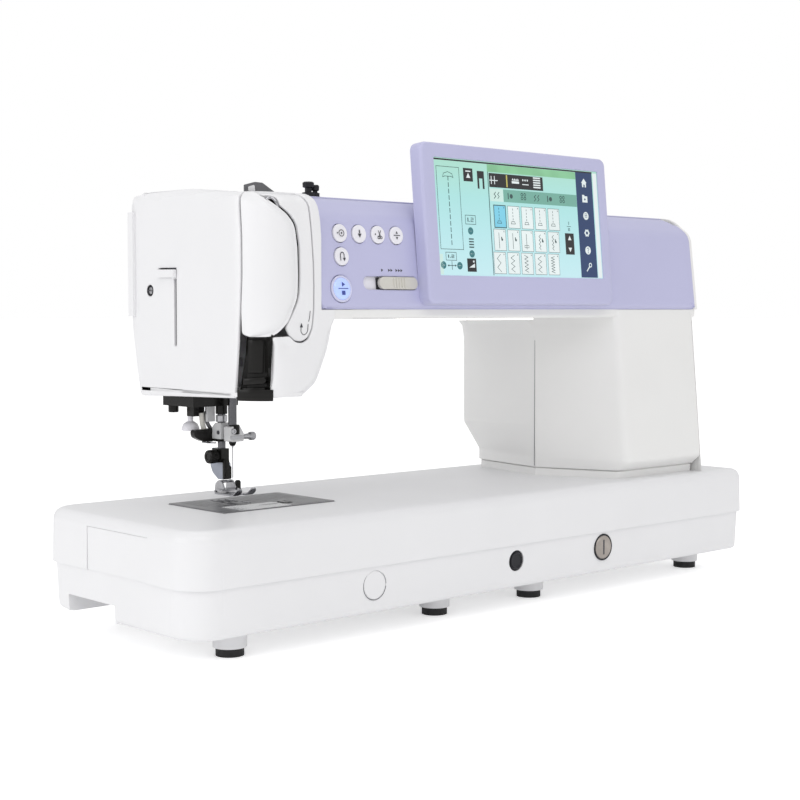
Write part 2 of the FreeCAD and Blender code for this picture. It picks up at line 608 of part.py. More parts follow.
gap = size("fit_gap")
lid_box = (size("lid_left"), size("lid_right"), size("lid_front"), size("lid_back"), 312, 340)
COVERS = [
    ("side_cover", region(size("arm_right") - size("wall") - 0.5, 400, *everywhere[2:], 80, 400)),
    ("face_plate", region(-240, -231, -56, 62, size("head_bottom") + 3, 400)),
    ("thread_cover", region(-240, -201.5, -120, -56, 218, 318)),
    ("head_base", region(-240, -185, -120, 120, size("head_bottom") - 4, size("head_bottom") + 3)),
    ("arm_top_cover", region(*lid_box)),
    ("arm_front_cover", region(size("head_right"), 400, -120, size("lid_front"), size("arm_joint"), 400)),
    ("head_front_cover", region(-240, -150, -120, -9, 100, size("arm_joint")).fuse(
        region(-240, size("head_right"), -120, size("lid_front"), 200, 400))),
    ("pillar_front_cover", region(-150, 400, -120, size("pillar_seam_y"), 80, size("arm_joint"))),
    ("rear_cover", region(*everywhere, 80, 400)),
]
pieces = {}
for label, zone in COVERS:
    pieces[label] = remaining.common(zone)
    if label == "arm_top_cover":
        zone = region(*[v + (gap if i % 2 else -gap) for i, v in enumerate(lid_box)])
    remaining = remaining.cut(zone)

# openings in the covers
holes = {label: [] for label in pieces}
for x, z in KEYS.values():
    start = Vector(x, face_depth(z), z) - FACE_IN * 5
    holes["arm_front_cover"].append(Part.makeCylinder(size("key_radius") + gap, 12, start, FACE_IN))
start = Vector(size("start_x"), face_depth(size("start_z")), size("start_z")) - FACE_IN * 5
holes["arm_front_cover"].append(Part.makeCylinder(START_RADIUS + gap, 12, start, FACE_IN))
slider_low = size("slider_z") - size("slider_height") / 2 - gap
holes["arm_front_cover"].append(region(size("slider_left") - gap, size("slider_right") + gap, -100, -60,
                                       slider_low,
                                       slider_low + size("slider_height") + 2 * gap))
lean = Rotation(Vector(1, 0, 0), -size("screen_lean"))
screen_height = (size("screen_top") - size("screen_bottom")) / math.cos(math.radians(size("screen_lean")))
bay = Part.makeBox(size("screen_right") - size("screen_left") + 0.2, size("screen_thick") + 0.1,
                   screen_height)
bay.Placement = Placement(Vector(size("screen_left") - 0.1, size("screen_front"),
                                 size("screen_bottom") - 0.1), lean)
holes["arm_front_cover"].append(bay)
holes["head_front_cover"].append(region(-207, -200.5, -90, -40, 225, 318))
holes["thread_cover"].append(region(-207, -200.5, -90, -40, 300, 318))
holes["face_plate"].append(region(-240, -225, size("lever_y") - 1.8, size("lever_y") + 1.8,
                                  size("lever_top") - size("lever_travel") - 11, size("lever_top")))
holes["head_base"].append(region(-210, size("needle_x") + 10, 4, 38, 170, 190))
shaft_hole = Part.makeCylinder(size("shaft_radius") + 1, 60,
                               Vector(240, size("shaft_y"), size("shaft_z")), Vector(1, 0, 0))
holes["side_cover"] += [shaft_hole, region(240, 280, -48, -28, 120, 134),
                        region(240, 280, -48.5, -27.5, 137.5, 152.5)]
for i in range(8):
    holes["rear_cover"].append(region(150 + 12 * i, 154 + 12 * i, 60, 100, 120, 160))
holes["rear_cover"].append(region(-205, -183, 60, 100, 170, 236))
SCREWS = [("face_plate", Vector(size("head_left") - 0.6, 54, 253), Vector(1, 0, 0))]
SCREWS += [("rear_cover", Vector(x, size("arm_back") - 3, z), Vector(0, 1, 0)) for x, z in
           ((-170, 270), (40, 270), (230, 270), (140, 112), (240, 112))]
screws = []
for label, start, axis in SCREWS:
    screws.append(Part.makeCylinder(4, 3.6, start, axis))
    holes[label].append(Part.makeCylinder(4.05, 6, start - axis, axis))
guide_seat = region(-225, -199, -54, -47, 318.5, 330)
holes["head_front_cover"].append(guide_seat)
for label, tools in holes.items():
    if tools:
        pieces[label] = pieces[label].cut(tools)
for label, shape in pieces.items():
    shaped(label, shape)

# ---------------------------------------------------------------- frame inside the arm
beam = block("beam", ("-172", "48", "244"), "418", "6", "64")
column = block("column", ("150", "48", "27"), "90", "6", "218")
webs = [block("web", (x, "-20", "262"), "8", "69", "46") for x in ("-150", "20", "170")]
shelf = block("shelf", ("-172", "-20", "244"), "418", "69", "4")
shelf_room = block("shelf_room", ("186", "-24", "240"), "50", "72", "12")
arm_bore = rod("arm_bore", ("-160", "shaft_y", "shaft_z"), "shaft_radius + shaft_gap", "400", "X")
pin_boss = block("pin_boss", ("needle_x - 7", "40", "291"), "26", "14", "16")
swing_pin = rod("swing_pin", ("needle_x", "24.2", "300"), "2.5", "24", "Y")
presser_guide = block("presser_guide", ("needle_x - 7", "23.6", "237"), "30", "24.5", "11")
guide_bore = rod("guide_bore", ("needle_x", "presser_y", "228"), "presser_radius + shaft_gap", "20")
motor_seat = block("motor_seat", ("134", "40", "150"), "20", "9", "36")
motor_room = rod("motor_room", ("120", "motor_y", "motor_z"), "motor_radius + 0.4", "80", "X")
frame_solid = fuse("frame_solid", beam, column, *webs, shelf, pin_boss, swing_pin, presser_guide,
                   motor_seat)
node("arm_frame", cut("arm_frame", frame_solid, shelf_room, arm_bore, guide_bore, motor_room))

# ---------------------------------------------------------------- needle drive
swing_web = block("swing_web", ("needle_x - 6", "19", "196"), "12", "4", "110")
swing_hole = rod("swing_hole", ("needle_x", "10", "300"), "2.5 + shaft_gap", "20", "Y")
guides = [block("guide", ("needle_x - 6", "8.5", "196"), "12", "14.5", "7"),
          block("guide", ("needle_x - 6", "8.5", "257"), "8.8", "14.5", "6")]
needle_bore = rod("needle_bore", ("needle_x", "needle_y", "180"), "bar_radius + shaft_gap", "100")
node("needle_bar_frame", cut("needle_bar_frame", fuse("swing_solid", swing_web, *guides), swing_hole,
                             needle_bore))

turned("needle_bar", ("needle_x", "needle_y", "clamp_bottom + 7"), "Z", [
    ("0", "0"), ("bar_radius", "0"), ("bar_radius", "bar_top - clamp_bottom - 7"),
    ("0", "bar_top - clamp_bottom - 7")])
clamp_core = rod("clamp_core", ("needle_x", "needle_y", "clamp_bottom"), "4.6", "12")
clamp_ear = block("clamp_ear", ("needle_x", "needle_y - 3", "clamp_bottom"), "7.4", "6", "7")
clamp_bar_hole = rod("clamp_bar_hole", ("needle_x", "needle_y", "clamp_bottom + 7"), "bar_radius", "12")
clamp_needle_hole = rod("clamp_needle_hole", ("needle_x", "needle_y", "clamp_bottom - 1"),
                        "needle_shank", "12")
clamp_screw_hole = rod("clamp_screw_hole", ("needle_x + 2", "needle_y", "clamp_bottom + 3.5"), "1.25",
                       "12", "X")
node("needle_clamp", cut("needle_clamp", fuse("clamp_solid", clamp_core, clamp_ear), clamp_bar_hole,
                         clamp_needle_hole, clamp_screw_hole))
turned("clamp_screw", ("needle_x + 2.5", "needle_y", "clamp_bottom + 3.5"), "X", [
    ("0", "0"), ("1.2", "0"), ("1.2", "5.2"), ("2.2", "5.2"), ("3.4", "6.5"), ("3.4", "14"),
    ("2.6", "15"), ("0", "15")])
turned("needle", ("needle_x", "needle_y", "needle_tip"), "Z", [
    ("0", "0"), ("needle_radius", "4"), ("needle_radius", "25"), ("needle_shank", "27"),
    ("needle_shank", "36"),
    ("0", "36")])
rod_plate = block("rod_plate", ("needle_x + 3.4", "needle_y - 4", "246"), "2.4", "8", "56")
rod_stud = block("rod_stud", ("needle_x - 5", "needle_y - 4", "246"), "8.4", "8", "8")
stud_bore = rod("stud_bore", ("needle_x", "needle_y", "240"), "bar_radius", "20")
node("connecting_rod", cut("connecting_rod", fuse("rod_solid", rod_plate, rod_stud), stud_bore))

lever_hub = rod("lever_hub", ("-206", "-22", "272"), "6", "4", "X")
lever_arm = block("lever_arm", ("-205", "-25", "272"), "2", "6", "36")
lever_arm.Placement = Placement(Vector(), Rotation(Vector(1, 0, 0), 48))
for letter, formula in zip("xyz", ("-205", "-24", "270")):
    lever_arm.setExpression("Placement.Base." + letter, cells(formula))
lever_tip = block("lever_tip", ("-205", "-56", "296"), "2", "20", "6")
lever_bore = rod("lever_bore", ("-210", "-22", "272"), "3 + shaft_gap", "12", "X")
node("take_up_lever", cut("take_up_lever", fuse("lever_solid", lever_hub, lever_arm, lever_tip),
                          lever_bore))

# ---------------------------------------------------------------- presser bar and foot
turned("presser_bar", ("needle_x", "presser_y", "presser_bottom"), "Z", [
    ("0", "0"), ("presser_radius", "0"), ("presser_radius", "presser_top - presser_bottom"),
    ("0", "presser_top - presser_bottom")])
ankle = block("ankle", ("needle_x - 4", "presser_y - 4.2", "foot_hinge_z - 2"), "8", "12",
              "presser_bottom - foot_hinge_z + 14")
ankle_cut = block("ankle_cut", ("needle_x - 5", "presser_y - 5", "foot_hinge_z - 4"), "10", "30", "6.2")
ankle_bore = rod("ankle_bore", ("needle_x", "presser_y", "presser_bottom"), "presser_radius", "20")
ankle_screw = rod("ankle_screw_hole", ("needle_x - 2.5", "presser_y", "presser_bottom + 6"), "1.25", "6",
                  "back")
toe = block("ankle_toe", ("needle_x - 3", "presser_y - 8.4", "foot_hinge_z + 2.2"), "6", "8", "6")
node("foot_holder", cut("foot_holder", fuse("ankle_solid", ankle, toe), ankle_cut, ankle_bore,
                        ankle_screw))
turned("foot_screw", ("needle_x - 3.1", "presser_y", "presser_bottom + 6"), "back", [
    ("0", "0"), ("1.2", "0"), ("1.2", "1.4"), ("3", "1.4"), ("5.4", "3"), ("5.4", "11"),
    ("4.4", "12"),
    ("0", "12")])
sole = block("sole", ("needle_x - foot_width / 2", "needle_y - 17", "sole_bottom"), "foot_width",
             "foot_length", "2")
saddle = block("saddle", ("needle_x - 5", "needle_y + 5.5", "sole_bottom + 2"), "10", "10.5", "8")
saddle_top = block("saddle_top", ("needle_x - 3.4", "needle_y + 5", "sole_bottom + 5.6"), "6.8", "14",
                   "10")
foot_slot = block("foot_slot", ("needle_x - 4.6", "needle_y - 2", "sole_bottom - 1"), "9.2", "4", "6")
toe_slot = block("toe_slot", ("needle_x - 2.2", "needle_y - 18", "sole_bottom - 1"), "4.4", "13", "6")
node("presser_foot", cut("presser_foot", fuse("foot_solid", sole, saddle), saddle_top, foot_slot,
                         toe_slot))
lift_hub = rod("lift_hub", ("needle_x - 7", "66", "226"), "6", "10", "X")
lift_arm = block("lift_arm", ("needle_x - 6", "64", "198"), "8", "5", "28")
lift_grip = block("lift_grip", ("needle_x - 8", "64", "190"), "12", "28", "6")
lift_bore = rod("lift_bore", ("needle_x - 10", "66", "226"), "2.5 + shaft_gap", "16", "X")
node("presser_lever", cut("presser_lever", fuse("lift_solid", lift_hub, lift_arm, lift_grip), lift_bore))

# ---------------------------------------------------------------- needle threader
threader_stem = block("threader_stem", ("lever_x - 4", "lever_y - 1.3", "lever_top - 7"), "10", "2.6",
                      "6")
threader_grip = block("threader_grip", ("lever_x - 5", "lever_y - 2", "lever_top - 6"), "2.6", "23",
                      "5.6")
node("threader_lever", fuse("threader_lever", threader_stem, threader_grip))
hook_rod = rod("threader_rod", ("needle_x - 14", "needle_y + 2", "140"), "2", "70")
hook_arm = block("threader_arm", ("needle_x - 15", "needle_y - 4", "138"), "6", "2", "5")
hook_link = block("threader_link", ("needle_x - 15.5", "needle_y - 4", "138"), "3", "7", "5")
node("threader_hook", fuse("threader_hook", hook_rod, hook_arm, hook_link))

# ---------------------------------------------------------------- display, keys and small parts
screen_span = "(screen_top - screen_bottom) / cos(screen_lean)"


def leaning(thing, at, angle):
    """Places a sub-part at three formulas, leaning back by an angle cell."""
    thing.Placement = Placement(Vector(), Rotation(Vector(1, 0, 0), -size(angle)))
    for letter, formula in zip("xyz", at):
        thing.setExpression("Placement.Base." + letter, cells(formula))


housing = plate("display_housing", rectangle("0", "0", "screen_right - screen_left", screen_span), "0",
                "screen_thick", "XZ_Plane", True)
rounded_edges(housing, "screen_round", lambda p,
              e: abs(p.y - size("screen_thick") / 2) < 0.1 and e.Length < 13)
rounded_edges(housing, "1.5", lambda p, e: abs(p.y) < 0.1)
bed_of_glass = sketch_on(housing, "XZ_Plane", "0")
outline(bed_of_glass, rectangle("14.8", "19.8", "screen_right - screen_left - 14.8",
                                screen_span + " - 8.8"))
feature(housing, "Pocket", bed_of_glass, "glass_thick + 0.4", False)
doc.recompute()
leaning(housing, ("screen_left", "screen_front", "screen_bottom"), "screen_lean")
glass = plate("display_glass", rectangle("15", "20", "screen_right - screen_left - 15",
                                         screen_span + " - 9"),
              "-0.4", "glass_thick", "XZ_Plane", True)
leaning(glass, ("screen_left", "screen_front", "screen_bottom"), "screen_lean")

for label, (x, z) in KEYS.items():
    turned(label, (str(x), face_y(str(z)) + " - 1.4", "%s + 0.17" % z), "into_face", [
        ("0", "0"), ("key_radius - 1", "0"), ("key_radius", "1"), ("key_radius", "key_height"),
    ("0", "key_height")])
turned("start_stop_button", ("start_x", face_y("start_z") + " - 1.8", "start_z + 0.2"), "into_face", [
    ("0", "0"), ("start_width / 2 - 1.2", "0"), ("start_width / 2 - 0.2", "1"),
    ("start_width / 2 - 0.2", "key_height"),
    ("0", "key_height")])
knob_depth = face_y("slider_z") + " - 2.4"
knob = block("knob", ("slider_right - knob_length", knob_depth, "slider_z - slider_height / 2"),
             "knob_length", "6",
             "slider_height")
node("speed_slider", knob)

plate("rocker_face", [("arm_right - 5", "121"), ("arm_right + 1.4", "121"),
                               ("arm_right - 0.6", "127"),
                               ("arm_right + 1.4", "133"),
    ("arm_right - 5", "133")], "47", "18", "XZ_Plane", True)
rocker_pin = rod("rocker_pin", ("arm_right - 3", "-47.6", "127"), "2", "19.2", "Y")
node("power_switch", fuse("power_switch", nodes.pop("rocker_face"), rocker_pin))
inlet_shell = block("inlet_shell", ("arm_right - 26", "-50", "136"), "23.4", "24", "18")
inlet_mouth = block("inlet_mouth", ("arm_right - 20", "-48.5", "137.5"), "30", "21", "15")
inlet_pins = [rod("inlet_pin", ("arm_right - 24", y, "145"), "1.2", "14", "X") for y in ("-42", "-34")]
node("power_inlet", fuse("power_inlet", cut("inlet_socket", inlet_shell, inlet_mouth), *inlet_pins))

strips = [block("lamp", (x, "-34", "230.3"), "70", "9", "1.6") for x in ("-60", "20")]
needle_lamp = block("needle_lamp", ("-222", "-8", "176.3"), "16", "8", "1.6")
node("lamp_lenses", fuse("lamp_lenses", *strips, needle_lamp))

guide_plate = block("guide_plate", ("-225", "-54", "318.5"), "26", "7", "9")
node("top_thread_guide", guide_plate)

shaped("cover_screws", Part.makeCompound(screws))

tray_floor = block("tray_floor", ("lid_left + 4", "lid_front + 5", "309"), "350", "90", "2")
spool_pin = rod("spool_pin", ("-60", "10", "311"), "2", "60", "X")
winder = rod("winder", ("150", "20", "311"), "3", "2.5")
node("spool_tray", fuse("spool_tray", tray_floor, spool_pin, winder))


# ---------------------------------------------------------------- checks and export
doc.recompute()
for thing in doc.Objects:
    if "Invalid" in thing.State or "Error" in thing.State:
        raise RuntimeError("%s did not recompute: %s" % (thing.Label, thing.State))
for label, thing in nodes.items():
    if thing.Shape.isNull() or not thing.Shape.isValid():
        raise RuntimeError("%s has no valid shape" % label)
    thing.Shape.exportStep("parts/%s.step" % label)
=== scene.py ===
"""Looks of the sewing machine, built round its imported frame."""
import json
import math

import bmesh
import bpy
from mathutils import Matrix, Vector
from mathutils.geometry import delaunay_2d_cdt

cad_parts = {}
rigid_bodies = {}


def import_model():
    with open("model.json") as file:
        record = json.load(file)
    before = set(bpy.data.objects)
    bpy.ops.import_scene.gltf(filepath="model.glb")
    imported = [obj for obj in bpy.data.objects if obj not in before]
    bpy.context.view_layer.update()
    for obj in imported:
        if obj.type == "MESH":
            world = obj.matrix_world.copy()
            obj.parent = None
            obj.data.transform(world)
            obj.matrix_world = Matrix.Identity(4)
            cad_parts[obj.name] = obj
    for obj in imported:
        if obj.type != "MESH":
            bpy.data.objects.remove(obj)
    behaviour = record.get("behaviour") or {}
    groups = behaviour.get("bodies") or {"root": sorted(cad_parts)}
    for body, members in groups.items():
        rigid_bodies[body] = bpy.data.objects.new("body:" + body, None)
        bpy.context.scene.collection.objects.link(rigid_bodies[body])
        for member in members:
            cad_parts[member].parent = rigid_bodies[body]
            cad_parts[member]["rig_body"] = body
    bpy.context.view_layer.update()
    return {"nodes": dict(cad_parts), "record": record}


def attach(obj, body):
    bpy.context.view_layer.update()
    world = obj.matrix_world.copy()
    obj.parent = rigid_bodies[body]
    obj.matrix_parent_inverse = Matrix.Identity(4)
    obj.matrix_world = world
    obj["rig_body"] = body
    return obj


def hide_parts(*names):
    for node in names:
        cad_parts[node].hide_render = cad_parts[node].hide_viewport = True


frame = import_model()
NODES = frame["nodes"]
MM = 0.001


# ---------------------------------------------------------------- materials
def rgb(r, g, b):
    return (r, g, b, 1.0)


def shader(name, colour, rough, metal=0.0, ior=1.5, coat=0.0, coat_rough=0.1, transmission=0.0, glow=None):
    """A material with its principled shader set, and a helper to add nodes to it."""
    mat = bpy.data.materials.new(name)
    mat.use_nodes = True
    tree = mat.node_tree
    bsdf = tree.nodes["Principled BSDF"]
    bsdf.inputs["Base Color"].default_value = colour
    bsdf.inputs["Roughness"].default_value = rough
    bsdf.inputs["Metallic"].default_value = metal
    bsdf.inputs["IOR"].default_value = ior
    bsdf.inputs["Coat Weight"].default_value = coat
    bsdf.inputs["Coat Roughness"].default_value = coat_rough
    bsdf.inputs["Transmission Weight"].default_value = transmission
    if glow:
        bsdf.inputs["Emission Color"].default_value = glow[0]
        bsdf.inputs["Emission Strength"].default_value = glow[1]
    return mat, tree, bsdf


def add(tree, kind, **values):
    node = tree.nodes.new("ShaderNode" + kind)
    for key, value in values.items():
        if key in node.inputs:
            node.inputs[key].default_value = value
        else:
            setattr(node, key, value)
    return node


def noise(tree, scale, detail=2.0, rough=0.5, stretch=None):
    """Noise in the object's own metres. stretch squeezes it along an axis."""
    where = add(tree, "TexCoord")
    source = where.outputs["Object"]
    if stretch:
        mapping = add(tree, "Mapping")
        mapping.inputs["Scale"].default_value = stretch
        tree.links.new(source, mapping.inputs["Vector"])
        source = mapping.outputs["Vector"]
    tex = add(tree, "TexNoise")
    tex.inputs["Scale"].default_value = scale
    tex.inputs["Detail"].default_value = detail
    tex.inputs["Roughness"].default_value = rough
    tree.links.new(source, tex.inputs["Vector"])
    return tex.outputs["Fac"]


def ramp(tree, fac, stops):
    node = add(tree, "ValToRGB")
    while len(node.color_ramp.elements) < len(stops):
        node.color_ramp.elements.new(0.5)
    for element, (place, colour) in zip(node.color_ramp.elements, stops):
        element.position = place
        element.color = colour
    tree.links.new(fac, node.inputs["Fac"])
    return node.outputs["Color"]


def spread(tree, fac, low, high):
    node = add(tree, "MapRange")
    node.inputs["To Min"].default_value = low
    node.inputs["To Max"].default_value = high
    tree.links.new(fac, node.inputs["Value"])
    return node.outputs["Result"]


def bumped(tree, bsdf, heights):
    """Adds bumps. Each is (fac, strength, depth in metres)."""
    before = None
    for fac, strength, depth in heights:
        bump = add(tree, "Bump")
        bump.inputs["Strength"].default_value = strength
        bump.inputs["Distance"].default_value = depth
        tree.links.new(fac, bump.inputs["Height"])
        if before:
            tree.links.new(before, bump.inputs["Normal"])
        before = bump.outputs["Normal"]
    tree.links.new(before, bsdf.inputs["Normal"])


def tone(colour, k):
    return rgb(*[min(1.0, c * k) for c in colour[:3]])


def moulded(name, colour, rough=0.38, grain=900.0, depth=0.00002, coat=0.0, shift=0.03):
    """Moulded plastic: faint mottling of colour and gloss, a fine grain and slow sink marks."""
    mat, tree, bsdf = shader(name, colour, rough, coat=coat)
    slow = noise(tree, 14.0, 3.0)
    fine = noise(tree, grain, 4.0, 0.6)
    tree.links.new(ramp(tree, slow, [(0.3, tone(colour, 1 - shift)), (0.7, tone(colour, 1 + shift))]),
                   bsdf.inputs["Base Color"])
    tree.links.new(spread(tree, fine, rough - 0.06, rough + 0.08), bsdf.inputs["Roughness"])
    bumped(tree, bsdf, [(slow, 0.25, 0.0004), (fine, 0.35, depth)])
    return mat


def metal(name, colour, rough, brushed=None, wear=0.25):
    """Machined or plated metal with brushing and faint smears."""
    mat, tree, bsdf = shader(name, colour, rough, metal=1.0)
    smear = noise(tree, 60.0, 5.0, 0.65)
    grain = noise(tree, 420.0, 3.0, 0.6, brushed or (1, 1, 1))
    tree.links.new(ramp(tree, smear, [(0.25, tone(colour, 1 - wear)), (0.75, tone(colour, 1.08))]),
                   bsdf.inputs["Base Color"])
    tree.links.new(spread(tree, grain, max(0.02, rough - 0.1), rough + 0.12), bsdf.inputs["Roughness"])
    bumped(tree, bsdf, [(grain, 0.3, 0.00003)])
    return mat


WHITE = moulded("shell_white", rgb(0.80, 0.80, 0.815), 0.34, shift=0.012)
WARM = moulded("shell_warm", rgb(0.81, 0.808, 0.80), 0.30, shift=0.012)
LAVENDER = moulded("shell_lavender", rgb(0.50, 0.50, 0.71), 0.34, shift=0.015)
# dark plastic, also used as painted shade behind the thread cover, in the screw's recess and beside the speed
# knob
DARK = moulded("plastic_dark_and_painted_shade", rgb(0.02, 0.02, 0.024), 0.30, 500.0, 0.00004)
RUBBER = moulded("foot_rubber", rgb(0.012, 0.012, 0.013), 0.62, 1400.0, 0.00008)
CAST = metal("cast_alloy", rgb(0.52, 0.53, 0.54), 0.55)
STEEL = metal("machined_steel", rgb(0.50, 0.50, 0.52), 0.30)
CHROME = metal("chrome_plate", rgb(0.40, 0.40, 0.42), 0.12, wear=0.08)
PLATE = metal("satin_steel_plate", rgb(0.24, 0.24, 0.25), 0.36, (1, 14, 1), 0.12)
GLASS, tree, bsdf = shader("screen_cover_glass", rgb(0.25, 0.55, 0.62), 0.08, coat=0.6)
CLEAR, tree, bsdf = shader("clear_cover", rgb(0.86, 0.88, 0.90), 0.10, transmission=0.75, coat=0.3)
KEYS = moulded("key_caps", rgb(0.82, 0.81, 0.86), 0.30, 700.0)
START, tree, bsdf = shader("start_cap", rgb(0.42, 0.52, 0.90), 0.2, coat=0.5,
    glow=(rgb(0.35, 0.5, 1.0), 0.32))
bumped(tree, bsdf, [(noise(tree, 700.0, 3.0), 0.2, 0.00002)])
DIAL = metal("dial_bronze", rgb(0.42, 0.38, 0.35), 0.34)
BELT = moulded("belt_rubber", rgb(0.02, 0.02, 0.02), 0.6, 900.0, 0.0001)
LAMP, tree, bsdf = shader("lamp_lens", rgb(0.95, 0.95, 0.92), 0.25, glow=(rgb(1, 0.98, 0.93), 1.2))
# glossy black plastic, also used as painted shade on the foot holder's front face
DARK_GLOSS = moulded("dark_gloss_and_painted_shade", rgb(0.010, 0.0095, 0.009), 0.20, 300.0, 0.00003)
SILVER = moulded("silver_paint", rgb(0.66, 0.66, 0.67), 0.24)
BAR = metal("dark_ground_bar", rgb(0.13, 0.13, 0.14), 0.16, None, 0.2)
for black in (DARK, DARK_GLOSS):
    black.node_tree.nodes["Principled BSDF"].inputs["Specular IOR Level"].default_value = 0.22
BRACKET = metal("bracket_grey", rgb(0.20, 0.20, 0.21), 0.4)
# print, also used as painted shade in the threader's slot, the screw's cross, the dial's slot and the rear
# vents
INK = moulded("printed_ink", rgb(0.05, 0.05, 0.06), 0.5)
ANKLE = metal("satin_ankle", rgb(0.36, 0.38, 0.44), 0.42, None, 0.1)
SEAM = moulded("seam_shadow", rgb(0.22, 0.22, 0.24), 0.6)
KNOB = moulded("knob_beige", rgb(0.60, 0.585, 0.54), 0.34)
START_RIM = moulded("start_rim", rgb(0.62, 0.62, 0.80), 0.22, 700.0, coat=0.5)
INK_BLUE = moulded("printed_ink_blue", rgb(0.05, 0.07, 0.32), 0.45)


def lit(name, colour, power=0.75, mottle=0.05):
    """A patch of a lit screen: its colour glows through the cover glass."""
    mat, tree, bsdf = shader(name, tone(colour, 0.25), 0.12, coat=0.5, glow=(colour, power))
    fac = noise(tree, 30.0, 2.0)
    tree.links.new(ramp(tree, fac, [(0.3, tone(colour, 1 - mottle)), (0.7, tone(colour, 1 + mottle))]),
                   bsdf.inputs["Emission Color"])
    return mat


UI_BLACK = lit("ui_black", rgb(0.004, 0.004, 0.006))
UI_LINE = lit("ui_line", rgb(0.03, 0.07, 0.07))
UI_WHITE = lit("ui_white", rgb(0.80, 0.88, 0.88))
UI_PALE = lit("ui_pale", rgb(0.62, 0.82, 0.76))
UI_TEAL = lit("ui_teal", rgb(0.17, 0.42, 0.34))
UI_DEEP = lit("ui_deep", rgb(0.03, 0.18, 0.20))
UI_NAVY = lit("ui_navy", rgb(0.006, 0.035, 0.13))
UI_GREEN = lit("ui_green", rgb(0.25, 0.58, 0.32), mottle=0.25)
UI_SKY = lit("ui_sky", rgb(0.20, 0.62, 0.80))
UI_YELLOW = lit("ui_yellow", rgb(0.55, 0.50, 0.12))
UI_BACK, tree, bsdf = shader("ui_back", rgb(0.1, 0.2, 0.2), 0.12, coat=0.5, glow=(rgb(0.5, 0.8, 0.8), 0.75))
where = add(tree, "TexCoord")
parts = add(tree, "SeparateXYZ")
tree.links.new(where.outputs["Object"], parts.inputs["Vector"])
rise = add(tree, "MapRange")
rise.inputs["From Min"].default_value = 0.262
rise.inputs["From Max"].default_value = 0.352
tree.links.new(parts.outputs["Z"], rise.inputs["Value"])
tree.links.new(ramp(tree, rise.outputs["Result"], [
    (0.0, rgb(0.62, 0.85, 0.92)), (0.4, rgb(0.50, 0.80, 0.84)), (0.7, rgb(0.42, 0.76, 0.74)),
    (1.0, rgb(0.42, 0.72, 0.56))]), bsdf.inputs["Emission Color"])
BY_SLOT = {"white_shell": WHITE, "lavender_shell": LAVENDER, "dark_plastic": DARK, "rubber": RUBBER,
           "cast_alloy": CAST, "steel": STEEL, "chrome": CHROME, "plate_steel": PLATE, "screen_glass": GLASS,
           "clear_plastic": CLEAR, "key_plastic": KEYS, "start_key": START, "dial_metal": DIAL,
           "belt_rubber": BELT, "lamp_lens": LAMP}
for row in frame["record"]["subparts"]:
    for slot in NODES[row["node"]].material_slots:
        slot.material = BAR if row["node"] in ("needle_bar", "presser_bar") else BY_SLOT[row["material_slot"]]

# ---------------------------------------------------------------- mesh helpers, all in millimetres
def build(name, bm, mat, body="machine", replaces=(), angle=32):
    """Turns a bmesh in millimetres into a piece of the object."""
    bmesh.ops.recalc_face_normals(bm, faces=bm.faces)
    bmesh.ops.scale(bm, vec=(MM, MM, MM), verts=bm.verts)
    mesh = bpy.data.meshes.new(name)
    bm.to_mesh(mesh)
    bm.free()
    mesh.shade_smooth()
    mesh.set_sharp_from_angle(angle=math.radians(angle))
    mesh.materials.append(mat)
    obj = bpy.data.objects.new(name, mesh)
    bpy.context.scene.collection.objects.link(obj)
    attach(obj, body)
    if replaces:
        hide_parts(*replaces)
    return obj


def soften(bm, width, segments=2, angle=28):
    """Rounds every edge that turns more than the angle."""
    sharp = [e for e in bm.edges if len(e.link_faces) == 2 and e.calc_face_angle(0) > math.radians(angle)]
    bmesh.ops.bevel(bm, geom=sharp, offset=width, segments=segments, profile=0.5, affect="EDGES",
                    clamp_overlap=True)


def refined(name, node, mat, width=0.5, segments=2, body=None):
    """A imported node's own shape with its edges rounded."""
    bm = bmesh.new()
    bm.from_mesh(NODES[node].data)
    bmesh.ops.scale(bm, vec=(1000, 1000, 1000), verts=bm.verts)
    bmesh.ops.remove_doubles(bm, verts=bm.verts, dist=0.005)
    bmesh.ops.dissolve_limit(bm, angle_limit=math.radians(1.0), verts=bm.verts, edges=bm.edges)
    soften(bm, width, segments)
    return build(name, bm, mat, body or NODES[node]["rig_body"], (node,))


def trimmed(name, node, mat, planes, width=0.5):
    """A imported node's own shape cut by planes (point, direction of the side that goes)."""
    bm = bmesh.new()
    bm.from_mesh(NODES[node].data)
    bmesh.ops.scale(bm, vec=(1000, 1000, 1000), verts=bm.verts)
    bmesh.ops.remove_doubles(bm, verts=bm.verts, dist=0.005)
    for at, away in planes:
        bmesh.ops.bisect_plane(bm, geom=bm.verts[:] + bm.edges[:] + bm.faces[:], plane_co=at, plane_no=away,
                               clear_outer=True)
        bmesh.ops.holes_fill(bm, edges=[e for e in bm.edges if e.is_boundary])
    return build(name, bm, mat, NODES[node]["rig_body"], (node,))


def ring_at(corners, z, arc=7):
    """A level outline from corners (x, y, radius), with the same number of points at each corner."""
    loop = []
    for i, (x, y, radius) in enumerate(corners):
        here = Vector((x, y))
        a = (Vector(corners[i - 1][:2]) - here).normalized()
        b = (Vector(corners[(i + 1) % len(corners)][:2]) - here).normalized()
        half = a.angle(b) / 2
        middle = here + (a + b).normalized() * (radius / math.sin(half))
        start = here + a * (radius / math.tan(half)) - middle
        end = here + b * (radius / math.tan(half)) - middle
        loop += [(*(middle + slerp(start, end, k / arc)), z) for k in range(arc + 1)]
    return loop


def slerp(a, b, t):
    w = a.angle(b)
    if w < 1e-4:
        return a.lerp(b, t)
    return (a * math.sin((1 - t) * w) + b * math.sin(t * w)) / math.sin(w)


